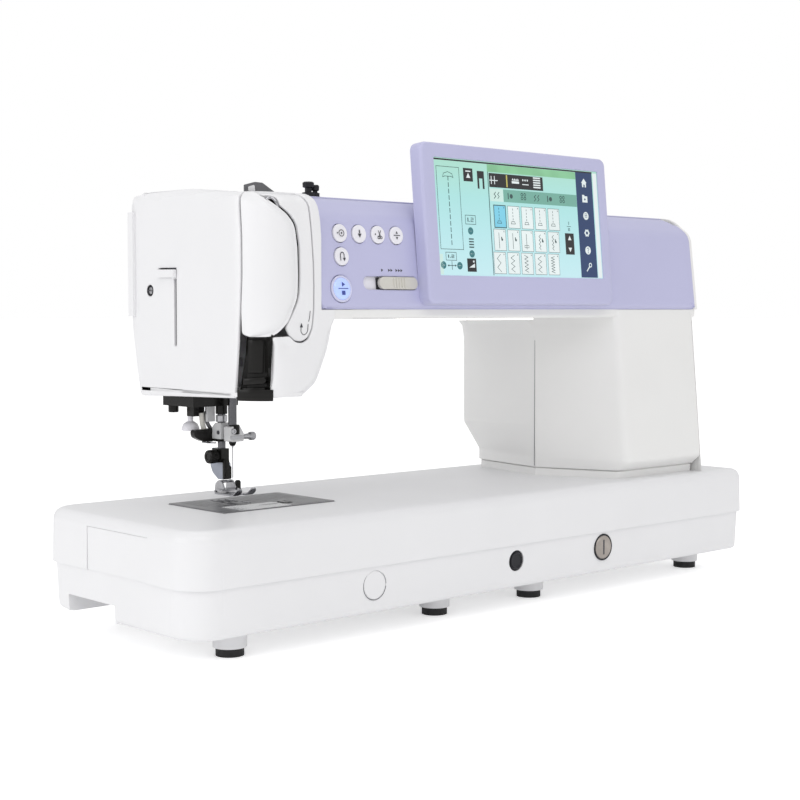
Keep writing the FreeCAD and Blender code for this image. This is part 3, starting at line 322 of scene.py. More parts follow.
def rounded(corners, step=4.0, turn=0.22):
    """A closed outline from corners (u, v, radius), as evenly spaced points, anticlockwise."""
    loop = []
    count = len(corners)
    for i, (u, v, radius) in enumerate(corners):
        here = Vector((u, v))
        a = Vector(corners[i - 1][:2]) - here
        b = Vector(corners[(i + 1) % count][:2]) - here
        half = a.angle(b) / 2
        reach = min(radius / math.tan(half), a.length * 0.49, b.length * 0.49)
        if radius <= 0 or half > 1.56:
            loop.append(here)
            continue
        real = reach * math.tan(half)
        middle = here + (a.normalized() + b.normalized()).normalized() * (real / math.sin(half))
        start = here + a.normalized() * reach - middle
        end = here + b.normalized() * reach - middle
        pieces = max(2, int((math.pi - 2 * half) / turn) + 1)
        loop += [middle + slerp(start, end, k / pieces) for k in range(pieces + 1)]
    dense = []
    for i, p in enumerate(loop):
        q = loop[(i + 1) % len(loop)]
        parts = max(1, math.ceil((q - p).length / step))
        dense += [p.lerp(q, k / parts) for k in range(parts)]
    area = sum(p.x * dense[(i + 1) % len(dense)].y - p.y * dense[(i + 1) % len(dense)].x
               for i, p in enumerate(dense))
    return dense if area > 0 else dense[::-1]


def inset(loop, d):
    """The outline moved inwards by d, or by one amount a point."""
    d = d if isinstance(d, list) else [d] * len(loop)
    out = []
    for i, p in enumerate(loop):
        a = p - loop[i - 1]
        b = loop[(i + 1) % len(loop)] - p
        na = Vector((-a.y, a.x)).normalized()
        nb = Vector((-b.y, b.x)).normalized()
        m = na + nb
        m = m / max(0.6, m.dot(na))
        out.append(p + m * d[i])
    return out


def inside(p, loop):
    hit = False
    for i, a in enumerate(loop):
        b = loop[i - 1]
        if (a.y > p.y) != (b.y > p.y) and p.x < (b.x - a.x) * (p.y - a.y) / (b.y - a.y) + a.x:
            hit = not hit
    return hit


def patch(name, corners, surface, mat, thick=2.2, edge=0.8, step=4.0, holes=(), arcs=3, **rest):
    """A moulded panel on a curved surface: corners outline it in (u, v), its rim is rounded by edge, and
    surface(u, v, height) gives the point at a height above the surface. Each hole is (corners, edge)."""
    outer = rounded(corners, step)
    points, rises, edges, bounds = [], [], [], []

    def rings(loop, size, inward):
        sizes = [size(p) if callable(size) else size for p in loop]
        for k in range(arcs + 1):
            angle = k / arcs * math.pi / 2
            ring = inset(loop, [inward * r * (1 - math.cos(angle)) for r in sizes])
            first = len(points)
            points.extend(ring)
            rises.extend([-r * (1 - math.sin(angle)) for r in sizes])
            edges.extend((first + i, first + (i + 1) % len(ring)) for i in range(len(ring)))
        return ring

    core = rings(outer, edge, 1)
    gaps = []
    for hole_corners, hole_edge in holes:
        hole = rounded(hole_corners, step)
        bounds.append(hole)
        gaps.append(rings(hole, hole_edge, -1))
    low = Vector((min(p.x for p in core), min(p.y for p in core)))
    high = Vector((max(p.x for p in core), max(p.y for p in core)))
    guard = inset(core, step * 0.45)
    gap_guards = [inset(g, -step * 0.45) for g in gaps]
    v = low.y + step / 2
    while v < high.y:
        u = low.x + step / 2
        while u < high.x:
            p = Vector((u, v))
            if inside(p, guard) and not any(inside(p, g) for g in gap_guards):
                points.append(p)
                rises.append(0.0)
            u += step
        v += step
    flat, _, faces, origin, _, _ = delaunay_2d_cdt(points, edges, [], 0, 1e-5)
    height = [max((rises[k] for k in o), default=0.0) for o in origin]
    bm = bmesh.new()
    top = [bm.verts.new(surface(p.x, p.y, h)) for p, h in zip(flat, height)]
    under = [bm.verts.new(surface(p.x, p.y, -thick)) for p in flat]
    for f in faces:
        centre = sum((flat[k] for k in f), Vector((0, 0))) / len(f)
        if inside(centre, outer) and not any(inside(centre, h) for h in bounds):
            bm.faces.new([top[k] for k in f])
            bm.faces.new([under[k] for k in reversed(f)])
    twin = dict(zip(top, under))
    for e in [e for e in bm.edges if len(e.link_faces) == 1 and e.verts[0] in twin]:
        a, b = e.verts
        bm.faces.new((a, b, twin[b], twin[a]))
    bmesh.ops.delete(bm, geom=[v for v in bm.verts if not v.link_faces], context="VERTS")
    bmesh.ops.join_triangles(bm, faces=bm.faces, angle_face_threshold=0.35, angle_shape_threshold=0.7)
    return build(name, bm, mat, **rest)


def stack(name, rings, mat, caps=True, ring_closed=True, **rest):
    """A skin through rings with the same number of points."""
    bm = bmesh.new()
    rows = [[bm.verts.new(p) for p in ring] for ring in rings]
    count = len(rows[0])
    for low, high in zip(rows, rows[1:]):
        for i in range(count if ring_closed else count - 1):
            j = (i + 1) % count
            bm.faces.new((low[i], low[j], high[j], high[i]))
    if caps:
        bm.faces.new(rows[0][::-1])
        bm.faces.new(rows[-1])
    return build(name, bm, mat, **rest)


AXES = {"X": Matrix(((0, 0, 1), (1, 0, 0), (0, 1, 0))), "Y": Matrix(((1, 0, 0), (0, 0, 1), (0, -1, 0))),
        "Z": Matrix.Identity(3)}


def frame_at(at, axis="Z"):
    """Places (u, v, w) at a point, with w along an axis name or a direction."""
    turn = AXES[axis] if isinstance(axis, str) else Vector(axis).to_track_quat("Z", "Y").to_matrix()
    return lambda p: Vector(at) + turn @ Vector(p)


def lathe(name, at, axis, profile, mat, sides=48, ripple=None, soft=0.0, **rest):
    """A turned piece: profile is (radius, height) pairs. ripple(angle, index) scales a radius."""
    place = frame_at(at, axis)
    bm = bmesh.new()
    rows = []
    for index, (radius, height) in enumerate(profile):
        if radius < 1e-6:
            rows.append([bm.verts.new(place((0, 0, height)))])
            continue
        ring = []
        for k in range(sides):
            angle = 2 * math.pi * k / sides
            r = radius * (ripple(angle, index) if ripple else 1.0)
            ring.append(bm.verts.new(place((r * math.cos(angle), r * math.sin(angle), height))))
        rows.append(ring)
    for low, high in zip(rows, rows[1:]):
        for k in range(sides):
            j = (k + 1) % sides
            if len(low) == 1 and len(high) == 1:
                continue
            if len(low) == 1:
                bm.faces.new((low[0], high[k], high[j]))
            elif len(high) == 1:
                bm.faces.new((low[k], low[j], high[0]))
            else:
                bm.faces.new((low[k], low[j], high[j], high[k]))
    for ring, flip in ((rows[0], True), (rows[-1], False)):
        if len(ring) > 1:
            bm.faces.new(ring[::-1] if flip else ring)
    bmesh.ops.remove_doubles(bm, verts=bm.verts, dist=0.0005)
    if soft:
        soften(bm, soft, 2)
    return build(name, bm, mat, **rest)


def slab(name, corners, place, low, high, mat, soft=0.4, step=50.0, segments=2, holes=(), **rest):
    """A plate with a rounded outline, from low to high along the third direction of place."""
    loop = rounded(corners, step)
    bm = bmesh.new()
    base = [bm.verts.new(place((p.x, p.y, low))) for p in loop]
    lid = [bm.verts.new(place((p.x, p.y, high))) for p in loop]
    for i in range(len(loop)):
        j = (i + 1) % len(loop)
        bm.faces.new((base[i], base[j], lid[j], lid[i]))
    bm.faces.new(base[::-1])
    bm.faces.new(lid)
    if soft:
        soften(bm, soft, segments)
    return build(name, bm, mat, **rest)


def brick(name, low, high, mat, soft=0.4, **rest):
    (x0, y0, z0), (x1, y1, z1) = low, high
    return slab(name, [(x0, y0, 0), (x1, y0, 0), (x1, y1, 0), (x0, y1, 0)], lambda p: Vector(p), z0, z1, mat,
        soft,
                **rest)


def tube(name, path, radius, mat, sides=12, closed=False, **rest):
    """A round wire along smoothed points."""
    pts = [Vector(p) for p in path]
    line = []
    for i in range(len(pts) - 1):
        p0, p1, p2, p3 = pts[max(i - 1, 0)], pts[i], pts[i + 1], pts[min(i + 2, len(pts) - 1)]
        for k in range(6):
            t = k / 6
            line.append(0.5 * ((2 * p1) + (p2 - p0) * t + (2 * p0 - 5 * p1 + 4 * p2 - p3) * t * t
                               + (3 * p1 - p0 - 3 * p2 + p3) * t ** 3))
    line.append(pts[-1])
    rings = []
    side = None
    for i, p in enumerate(line):
        along = (line[min(i + 1, len(line) - 1)] - line[max(i - 1, 0)]).normalized()
        side = (side - along * side.dot(along)).normalized() if side else along.orthogonal().normalized()
        other = along.cross(side)
        rings.append([p + radius * (side * math.cos(2 * math.pi * k / sides) + other * math.sin(2 * math.pi * k / sides))
                      for k in range(sides)])
    return stack(name, rings, mat, **rest)


def blend(low, high, t):
    t = min(1.0, max(0.0, (t - low) / (high - low)))
    return t * t * (3 - 2 * t)


# ---------------------------------------------------------------- needle head
HEAD_X, HEAD_FRONT, HEAD_BACK, CORNER = -236.0, -79.0, 80.0, 30.0
SIDE_RUN = HEAD_BACK - (HEAD_FRONT + CORNER)
BEND_RUN = CORNER * math.pi / 2
ROUND_RUN = SIDE_RUN + BEND_RUN
BACK_ROUND = 3.0


def along(line, t):
    """Point and outward normal on a polyline at a distance t from its start."""
    for a, b in zip(line, line[1:]):
        run = (b - a).length
        if t <= run or b is line[-1]:
            d = (b - a).normalized()
            return a + d * t, Vector((-d.y, d.x))
        t -= run


def open_line(corners, turn=0.08):
    """Straight runs joined by small arcs, from corners (u, v, radius)."""
    line = [Vector(corners[0][:2])]
    for (u0, v0, _), (u, v, radius), (u1, v1, _) in zip(corners, corners[1:], corners[2:]):
        here = Vector((u, v))
        a = Vector((u0, v0)) - here
        b = Vector((u1, v1)) - here
        half = a.angle(b) / 2
        reach = min(radius / math.tan(half), a.length * 0.48, b.length * 0.48)
        real = reach * math.tan(half)
        if real < 0.01:
            line.append(here)
            continue
        middle = here + (a.normalized() + b.normalized()).normalized() * (real / math.sin(half))
        start, end = here + a.normalized() * reach - middle, here + b.normalized() * reach - middle
        pieces = max(2, int((math.pi - 2 * half) / turn) + 1)
        line += [middle + slerp(start, end, k / pieces) for k in range(pieces + 1)]
    return line + [Vector(corners[-1][:2])]


def crest(y):
    """Height of the head's top at a depth."""
    if y < 10:
        return 321 + 5 * blend(-50, 10, y)
    return 326.0 - 1.5 * blend(60, 80, y)


def head_plan(s):
    """Point and outward direction on the head's outline, by distance round it from its back corner."""
    if s < BACK_ROUND:
        a = (BACK_ROUND - s) / BACK_ROUND
        if a < math.pi / 2:
            return (HEAD_X + BACK_ROUND * (1 - math.cos(a)), HEAD_BACK - BACK_ROUND * (1 - math.sin(a)),
                    -math.cos(a), math.sin(a))
        return HEAD_X + BACK_ROUND + (BACK_ROUND - s) - BACK_ROUND * math.pi / 2, HEAD_BACK, 0.0, 1.0
    if s < SIDE_RUN:
        return HEAD_X, HEAD_BACK - s, -1.0, 0.0
    if s < ROUND_RUN:
        a = (s - SIDE_RUN) / CORNER
        return (HEAD_X + CORNER - CORNER * math.cos(a), HEAD_FRONT + CORNER - CORNER * math.sin(a),
                -math.cos(a), -math.sin(a))
    return HEAD_X + CORNER + s - ROUND_RUN, HEAD_FRONT, 0.0, -1.0


def head_skin(s, v, h):
    """A point on the head's outer surface at distance s round it and height v, raised by h."""
    x, y, nx, ny = head_plan(s)
    top = crest(y)
    r = 5.0 + 9.0 * blend(SIDE_RUN - 10, SIDE_RUN + 40, s)
    if v > top - r:
        a = min(1.0, (v - top + r) / r) * math.pi / 2
        back = r - (r + h) * math.cos(a)
        return (x - nx * back, y - ny * back, top - r + (r + h) * math.sin(a))
    return (x + nx * h, y + ny * h, v)


def pebble(u, v, r):
    """A round hole's outline."""
    return [(u - r, v - r, r), (u + r, v - r, r), (u + r, v + r, r), (u - r, v + r, r)]


# left cover, with the threader's slot and the screw's recess
patch("head_left_cover", [
    (-3.6, 322, 1), (-3.6, 240, 4), (0.5, 232, 8), (6, 200, 30), (11.8, 174.0, 4), (60, 175.4, 10),
    (131, 177, 1.5),
    (132.6, 194, 30), (134.6, 215, 20), (136.2, 238, 60), (137.4, 262, 80), (137.4, 290, 80), (136, 312, 40),
    (134.6, 325.5, 1), (60, 325.9, 1), (20, 325, 1), (2, 324.5, 1)],
    head_skin, WHITE, edge=1.0, step=4, holes=[
    ([(37, 269.6, 0.4), (60.9, 269.4, 0.4), (60.7, 212, 1.4), (57.3, 212, 1.4), (57.3, 268.2, 0.3),
      (37, 268.5, 0.3)], 0.35), (pebble(26, 253, 4.3), 0.5)],
    replaces=("face_plate",))


def cover_edge(p):
    """How far the thread cover's rim rounds over: crisp at the seam, full at its free right edge."""
    return 0.8 + 7.0 * blend(141, 160, p.x) * (1 - 0.55 * blend(296, 318, p.y))


def cover_skin(s, v, h):
    return head_skin(s, v, h + 1.2 * blend(140, 158, s))


patch("head_thread_cover", [
    (138.2, 222, 3), (144, 219.9, 4), (162, 220, 16), (173, 230, 18), (181.4, 247, 20), (182, 262, 40),
    (181.4, 282, 25), (179, 298, 14), (171, 306, 16), (158, 313, 40), (146, 319.3, 8), (142.5, 321.8, 1),
    (136.9, 321.8, 1), (137.6, 312, 20), (138.8, 290, 60), (138.8, 262, 60), (137.6, 238, 60)],
    cover_skin, WHITE, thick=2.4, edge=cover_edge, step=3, arcs=5, replaces=("thread_cover",))


def low_skin(s, v, h):
    return head_skin(s, v, h - 1.6 * (1 - blend(186, 194, s)))


patch("head_channel_plate", [
    (171.6, 226, 3), (174.6, 221, 4), (179.2, 217.2, 6), (185.4, 216.4, 6), (190, 218.8, 6), (193.4, 226, 14),
    (195, 239, 30), (195.2, 256, 60), (194.8, 272, 60), (193, 295, 40), (191, 312, 20), (187.6, 321.6, 1),
    (144, 321.6, 1), (147.5, 320.2, 6), (154, 317.2, 3), (159, 317.6, 3), (165, 315.4, 3), (167, 310.4, 3),
    (175.6, 305.4, 14), (181.6, 298.6, 12), (184.4, 284, 30), (184.8, 262, 60), (184, 246, 30),
    (176.4, 233.4, 20)],
    low_skin, WHITE, thick=2.2, edge=0.9, step=3, replaces=("head_front_cover",))


def chin_edge(p):
    side = blend(196, 201, p.x) * (1 - blend(222, 234, p.y)) + (1 - blend(184, 196, p.y)) * blend(166, 190,
        p.x)
    left = (1 - blend(160.5, 166, p.x)) * (1 - blend(214, 219, p.y))
    return 0.7 + 5.5 * min(1.0, side) + 3.4 * left


def chin_skin(s, v, h):
    dent = 2.4 * math.exp(-((s - 170.6) ** 2 + (v - 214.5) ** 2) / 26.0)
    return head_skin(s, v, h - dent)


patch("head_chin", [
    (188.5, 321.6, 1), (192, 312, 20), (194, 295, 40), (195.8, 272, 60), (196.2, 256, 60), (196, 239, 30),
    (194.4, 225.6, 14), (190.7, 217.8, 6), (185.6, 215.4, 6), (179, 216, 6), (173.8, 220.2, 3),
    (160.6, 219.6, 1.5),
    (159.8, 190, 30), (157.8, 177.6, 1), (186, 178.4, 14), (198.5, 187, 18), (209, 210, 60), (214.6, 232, 2),
    (214.6, 238.8, 0.5), (202.5, 238.8, 0.5), (202.5, 290, 40), (201.4, 302, 20), (199, 313.5, 10),
    (195, 321.6, 1)],
    chin_skin, WHITE, thick=2.4, edge=chin_edge, step=3, arcs=5)

# side wall of the chin, behind its front panel, and the crown
walls = []
for level, front_x, mid_x in ((178.4, -200, -176), (183, -194, -175), (190, -187.6, -173), (205, -180, -169),
                              (218, -174, -165.6), (232, -168.6, -162)):
    outer = [(front_x, -75.5), (mid_x - 6, -56), (mid_x, -46), (mid_x, 10), (mid_x, 76)]
    ring = [(x, y, level) for x, y in outer] + [(x - 2.2, y, level) for x, y in outer[::-1]]
    walls.append(ring)
stack("head_chin_side", walls, WHITE)
crown = [head_skin(s, 400, 0)[:2] + (0.3,) for s in range(-2, 196, 4)]
crown += [(-180.3, -60, 0), (-180.3, -44.3, 0), (-176.4, -44.3, 0), (-176.4, 75, 0)]
patch("head_crown", crown, lambda x, y, h: (x, y, crest(y) + h), WHITE, edge=0.3, step=6, arcs=2)
# black strip behind the threader's slot: painted shade in the slot, whose walls are white plastic
brick("threader_slot_painted_shade", (-233.4, 12, 204), (-232.8, 34, 272), INK, 0.1)
patch("recess_foot", [(134.2, 175.4, 0.5), (161, 175.4, 0.5), (161, 183.4, 0.5), (134.2, 183.4, 0.5)],
      lambda s, v, h: head_skin(s, v, h + 0.5), DARK_GLOSS, thick=1.2, edge=0.3, step=3)
# dark ring round the screw in the cover's hole: painted shade of the recess
lathe("head_screw_shade_ring", (-235.6, 54, 253), (-1, 0, 0), [(2.9, -1), (4.1, -1), (4.1, 0.3), (3.3, 0.5), (2.9,
    -0.6)], DARK,
      36)
lathe("head_screw", (-236, 54, 253), (-1, 0, 0), [(0, -2), (2.7, -2), (2.7, -0.7), (2.2, -0.4), (0, -0.4)],
    STEEL, 32,
      replaces=("cover_screws",))
# the screw's cross recess, drawn as two flat ink strips: painted shade in the recess
for turn in (0, 1):
    slab("head_screw_cross_shade_%d" % turn, [(-2, -0.35, 0), (2, -0.35, 0), (2, 0.35, 0), (-2, 0.35, 0)],
         lambda p, t=turn: Vector((-236.2 - p[2], 54 + (p[1] if t else p[0]), 253 + (p[0] if t else p[1]))),
         0.55, 0.62, INK, 0.0)
for i, (x, z) in enumerate(((-170, 270), (40, 270), (230, 270), (156, 112), (240, 112))):
    lathe("rear_screw_%d" % i, (x, 79.6, z), (0, 1, 0), [(0, 0), (4, 0), (4, 0.8), (3.4, 1.2), (1.6, 1.2),
        (1.4, 0.5),
                                                       (0, 0.5)], STEEL, 32)

# recess below the thread cover, with its tension block and wedge
patch("head_recess", [(133.2, 177, 0.5), (158.6, 177, 0.5), (161, 221.5, 0.5), (136.6, 221.5, 0.5)],
      lambda s, v, h: head_skin(s, v, h - 7.5 * blend(132, 136, s) * (1 - blend(156, 160, s))), DARK_GLOSS,
      thick=1.6, edge=0.2, step=2.5, arcs=2)
patch("thread_wedge", [(137.6, 186, 0.8), (154.4, 187.2, 0.8), (156.6, 189.6, 1.4), (154.8, 192.2, 0.8),
                       (137.6, 191.2, 0.8)],
      lambda s, v, h: head_skin(s, v, h - 1.6), DARK_GLOSS, thick=6.5, edge=0.9, step=2)
patch("thread_block", [(135.4, 176.4, 0.6), (155, 176.4, 0.6), (155.4, 184.8, 1), (136.2, 184.4, 1)],
      lambda s, v, h: head_skin(s, v, h - 2.6), DARK_GLOSS, thick=6, edge=0.7, step=2)
patch("thread_slide", [(139, 194.5, 1), (153.5, 194.5, 1), (154.4, 218, 1), (139.6, 218, 1)],
      lambda s, v, h: head_skin(s, v, h - 5.6 - 0.8 * blend(150, 154, s)), DARK_GLOSS, thick=2, edge=0.7,
      step=2.5)

# dark sheet behind the thread cover: painted shade, so that the slot reads as deep
patch("take_up_well_painted_shade", [(166, 229, 1), (188, 224, 1), (190, 300, 6), (184, 310, 6), (150, 319, 2),
    (150, 312, 2),
                       (172, 300, 6)],
      lambda s, v, h: head_skin(s, v, h - 8.0), DARK, thick=1.0, edge=0.2, step=4, arcs=2)

# take-up lever's eye, in its slot at the top of the head
tube("take_up_eye", [head_skin(150, 308, -6), head_skin(156, 313.4, -2.4), head_skin(161, 314.4, -1.6),
                     head_skin(165, 311.5, -2.4), head_skin(166.5, 306.5, -5)], 1.3, CHROME,
                     body="take_up_unit")

# thread guide bracket on the crown, and the tension knobs beside it
def bracket_place(p):
    return Vector((-212 + p[0], -48.6 - p[2], 318.8 + p[1]))


slab("thread_guide_plate", [(-13, 0, 0.4), (-13, 7.2, 0.8), (-4, 9.6, 2), (2.4, 9.4, 2), (13.4, 3.4, 0.8),
    (13.4, 0, 0.4)],
     bracket_place, 0, 1.3, BRACKET, 0.25, replaces=("top_thread_guide",))
slab("thread_guide_foot", [(-13, -5, 1), (12.6, -5, 1), (12.6, 1, 1), (-13, 1, 1)],
     lambda p: Vector((-212 + p[0], -49.6 + p[1], 320.2 + p[2])), 0, 1.2, BRACKET, 0.25)
slab("thread_guide_window", [(-10, 2.6, 0.5), (-10, 6, 0.8), (-4.6, 7.6, 0.8), (-4, 2.6, 0.5)], bracket_place,
     1.2, 1.45, WHITE, 0.1)
for i, (gx, gr, top) in enumerate(((-163.6, 3.6, 11.4), (-157.2, 2.6, 9.4))):
    lathe("thread_stud_%d" % i, (gx + 5.2, -38, 321.0), (0, 0, 1), [
        (0, 0), (gr * 1.3, 0), (gr * 1.3, 3.4), (gr * 0.7, 4), (gr * 0.7, top - 4.6), (gr * 1.15, top - 4),
        (gr * 1.2, top - 0.8), (gr * 0.9, top), (0, top)], DARK, 32)

# numbered mark beside the thread path: a turn arrow and ticks
def on_channel(s, v, h=0.06):
    return low_skin(s, v, h)


tube("thread_turn_mark", [on_channel(185, 227.4), on_channel(184.8, 223.4), on_channel(187.2, 221.2),
                          on_channel(189.8, 223.4), on_channel(190.4, 228.6)], 0.28, INK, 6)
bm = bmesh.new()
bm.faces.new([bm.verts.new(on_channel(s, v, 0.25)) for s, v in ((183.6, 226.4), (186.4, 226.4), (185,
    229.6))])
build("thread_turn_arrow", bm, INK)
tube("thread_path_mark", [on_channel(190.8, 230.4), on_channel(191.6, 234), on_channel(192, 238)], 0.22, INK,
    6)
# ---------------------------------------------------------------- arm
ARM_LINE = open_line([(-79, 239, 0), (-71, 305, 14), (-50, 321, 30), (10, 326, 60), (62, 326.5, 14),
    (80, 318, 5),
                      (80, 232, 0)])
LEAN = math.atan2(8, 66)
FACE_ORIGIN = Vector((0, -79, 239))
FACE_UP = Vector((0, math.sin(LEAN), math.cos(LEAN)))
FACE_OUT = Vector((0, -math.cos(LEAN), math.sin(LEAN)))


def arm_skin(x, t, h):
    """A point on the arm's outside at distance t round it from the front joint, raised by h."""
    if t < 0:
        p, n = Vector((-79, 239 + t)), Vector((-1, 0))
    else:
        p, n = along(ARM_LINE, t)
    return (x, p.x + n.x * h, p.y + n.y * h)


def face(x, t, h=0.0):
    """A point on the arm's leaning front face."""
    p = FACE_ORIGIN + FACE_UP * t + FACE_OUT * h
    return Vector((x, p.y, p.z))


def at_face(x, t):
    return lambda p: face(x + p[0], t + p[1], p[2])


KEY_T = 55.1
KEY_SPOTS = {"key_reinforce": (-157.7, KEY_T), "key_needle_position": (-139.4, KEY_T),
             "key_thread_cutter": (-121.1, KEY_T), "key_foot_lift": (-102.8, KEY_T),
             "key_reverse": (-157.7, 38.2)}
START_X, START_T = -160.0, 14.8
SLOT_L, SLOT_R, SLOT_T, SLOT_H = -138.2, -84.8, 19.5, 9.9
TOP_FRONT = 92.6


def front_edge(p):
    return 0.8 + 3.6 * (1 - blend(1, 4, p.y)) + 2.4 * blend(246, 252, p.x)


front_holes = [(pebble(x, t, 6.95), 0.5) for x, t in KEY_SPOTS.values()]
front_holes += [(pebble(START_X, START_T, 10.1), 0.6)]
front_holes += [([(SLOT_L, SLOT_T - SLOT_H / 2, 4.9), (SLOT_R, SLOT_T - SLOT_H / 2, 4.9),
                  (SLOT_R, SLOT_T + SLOT_H / 2, 4.9), (SLOT_L, SLOT_T + SLOT_H / 2, 4.9)], 0.7)]
patch("arm_front_panel", [
    (-179.3, 0.4, 0.5), (-179.3, 50, 40), (-180.5, 63, 20), (-183, 76, 10), (-187, 86, 3),
    (-187, TOP_FRONT, 0.5),
    (244, TOP_FRONT, 3), (258.4, 80, 8), (258.4, 0.4, 1)],
    arm_skin, LAVENDER, thick=2.4, edge=front_edge, step=5, holes=front_holes, arcs=4,
    replaces=("arm_front_cover",))


def key_profile(r):
    return [(0, -3), (r, -3), (r, 0.7), (r - 0.25, 1.05), (r - 0.9, 1.2), (r - 1.6, 1.12), (r * 0.5, 0.95),
        (0, 0.9)]


def tri(cx, cy, size, turn=0.0):
    return [(cx + size * math.cos(turn + k * 2 * math.pi / 3),
        cy + size * math.sin(turn + k * 2 * math.pi / 3))
            for k in range(3)]


def disc(cx, cy, r, n=20):
    return [(cx + r * math.cos(2 * math.pi * k / n),
        cy + r * math.sin(2 * math.pi * k / n)) for k in range(n)]


def ribbon(points, width, closed=False):
    """Flat quads along a line."""
    pts = [Vector(p) for p in points]
    if closed:
        pts.append(pts[0])
    quads = []
    for a, b in zip(pts, pts[1:]):
        d = (b - a).normalized() * width / 2
        n = Vector((-d.y, d.x))
        quads.append([a - d + n, a - d - n, b + d - n, b + d + n])
    return quads


def circle_line(cx, cy, r, width, n=20):
    return ribbon(disc(cx, cy, r, n), width, True)


def print_on(name, place, shapes, height, mat, body="machine"):
    """Printed shapes just above a surface."""
    bm = bmesh.new()
    for shape in shapes:
        bm.faces.new([bm.verts.new(place((p[0], p[1], height))) for p in shape])
    return build(name, bm, mat, body)


def box(u0, v0, u1, v1):
    return [(u0, v0), (u1, v0), (u1, v1), (u0, v1)]


ICONS = {
    "key_reinforce": [disc(-2.7, 0, 0.55), disc(1.0, 0, 0.7)] + circle_line(1.0, 0, 2.3, 0.5),
    "key_needle_position": [box(-0.5, 0.4, 0.5, 2.8), tri(0, -0.9, 2.0, -math.pi / 2)],
    "key_thread_cutter": [disc(-3.0, 0.2, 0.6)] + ribbon([(0.1, 2.8), (2.2, -1.4)], 0.55)
    + ribbon([(2.4, 2.8), (0.4, -1.4)], 0.55) + circle_line(0.1, -2.2, 0.9, 0.5) + circle_line(2.5, -2.2,
    0.9, 0.5),
    "key_foot_lift": [box(-3.2, -0.3, 3.2, 0.3), tri(0, 1.9, 1.3, math.pi / 2),
    tri(0, -1.9, 1.3, -math.pi / 2)],
    "key_reverse": ribbon([(-1.6, -2.8), (-1.6, 1.2), (-1.0, 2.5), (0.2, 3.0), (1.3, 2.5), (1.8, 1.2),
    (1.8, -1.0)],
                          0.6) + [tri(1.8, -1.9, 1.6, -math.pi / 2)],
}
for name, (x, t) in KEY_SPOTS.items():
    body = name + "_cap"
    lathe(name + "_dish", tuple(face(x, t)), tuple(FACE_OUT), key_profile(6.55), KEYS, 40, body=body,
          replaces=(name,))
    print_on(name + "_mark", at_face(x, t), ICONS[name], 1.26, INK, body)
lathe("start_stop_ring", tuple(face(START_X, START_T)), tuple(FACE_OUT), [
    (8.0, -3), (9.8, -3), (9.8, 0.4), (9.3, 1.0), (8.6, 1.1), (8.0, 0.6)], START_RIM, 56, body="start_button")
lathe("start_stop_cap", tuple(face(START_X, START_T)), tuple(FACE_OUT), [
    (0, -3), (7.9, -3), (7.9, 0.5), (7.4, 1.2), (6.4, 1.7), (4, 2.1), (0, 2.25)], START, 56,
    body="start_button",
    replaces=("start_stop_button",))
print_on("start_stop_mark", at_face(START_X, START_T), [
    tri(-0.1, 3.0, 2.0, 0), box(-4.6, -0.3, 4.6, 0.3), box(-1.6, -4.6, 1.6, -1.6)], 2.32, INK_BLUE,
    "start_button")
print_on("speed_marks", at_face(0, 29.0), [tri(x, 0, 1.35, 0) for x in
                                           (-119.6, -112.8, -110.4, -105.4, -102.9, -100.4)], 0.12, INK)

# speed slider: the slot's floor, and the knob with its ridges
slab("slider_floor", [(SLOT_L - 2, -6.4, 2), (SLOT_R + 2, -6.4, 2), (SLOT_R + 2, 6.4, 2),
    (SLOT_L - 2, 6.4, 2)],
     at_face(0, SLOT_T), -4.2, -3.4, KEYS, 0.2)
knob = [(-123.4, -4.5, 4.4), (-85.4, -4.5, 4.4), (-85.4, 4.5, 4.4), (-123.4, 4.5, 4.4)]
slab("speed_knob_cap", knob, at_face(0, SLOT_T), -3.2, 0.9, KNOB, 0.7, segments=3, body="speed_knob",
     replaces=("speed_slider",))
for i in range(5):
    x = -109.6 + 2.7 * i
    slab("speed_knob_ridge_%d" % i, [(x, -3.9, 0.4), (x + 1.1, -3.9, 0.4), (x + 1.1, 3.9, 0.4),
        (x, 3.9, 0.4)],
         at_face(0, SLOT_T), 0.7, 1.45, KNOB, 0.3, body="speed_knob")
# dark strip under the knob's left end: painted shade at the left of the knob in the slot
slab("speed_knob_painted_shade", [(-123.8, -4.3, 1), (-121, -4.3, 1), (-121, 4.3, 1), (-123.8, 4.3, 1)],
    at_face(0, SLOT_T),
     -3.3, -1.6, DARK, 0.3, body="speed_knob")

# ---------------------------------------------------------------- display
SCREEN_LEAN = math.radians(5.3)
SCREEN_UP = Vector((0, math.sin(SCREEN_LEAN), math.cos(SCREEN_LEAN)))
SCREEN_OUT = Vector((0, -math.cos(SCREEN_LEAN), math.sin(SCREEN_LEAN)))


def screen(p):
    q = Vector((-84, -90, 243)) + SCREEN_UP * p[1] + SCREEN_OUT * p[2]
    return Vector((-84 + p[0], q.y, q.z))


SCREEN_W, SCREEN_H = 213.0, 122.4
AREA = (13.6, 22.4, 201.6, 110.6)


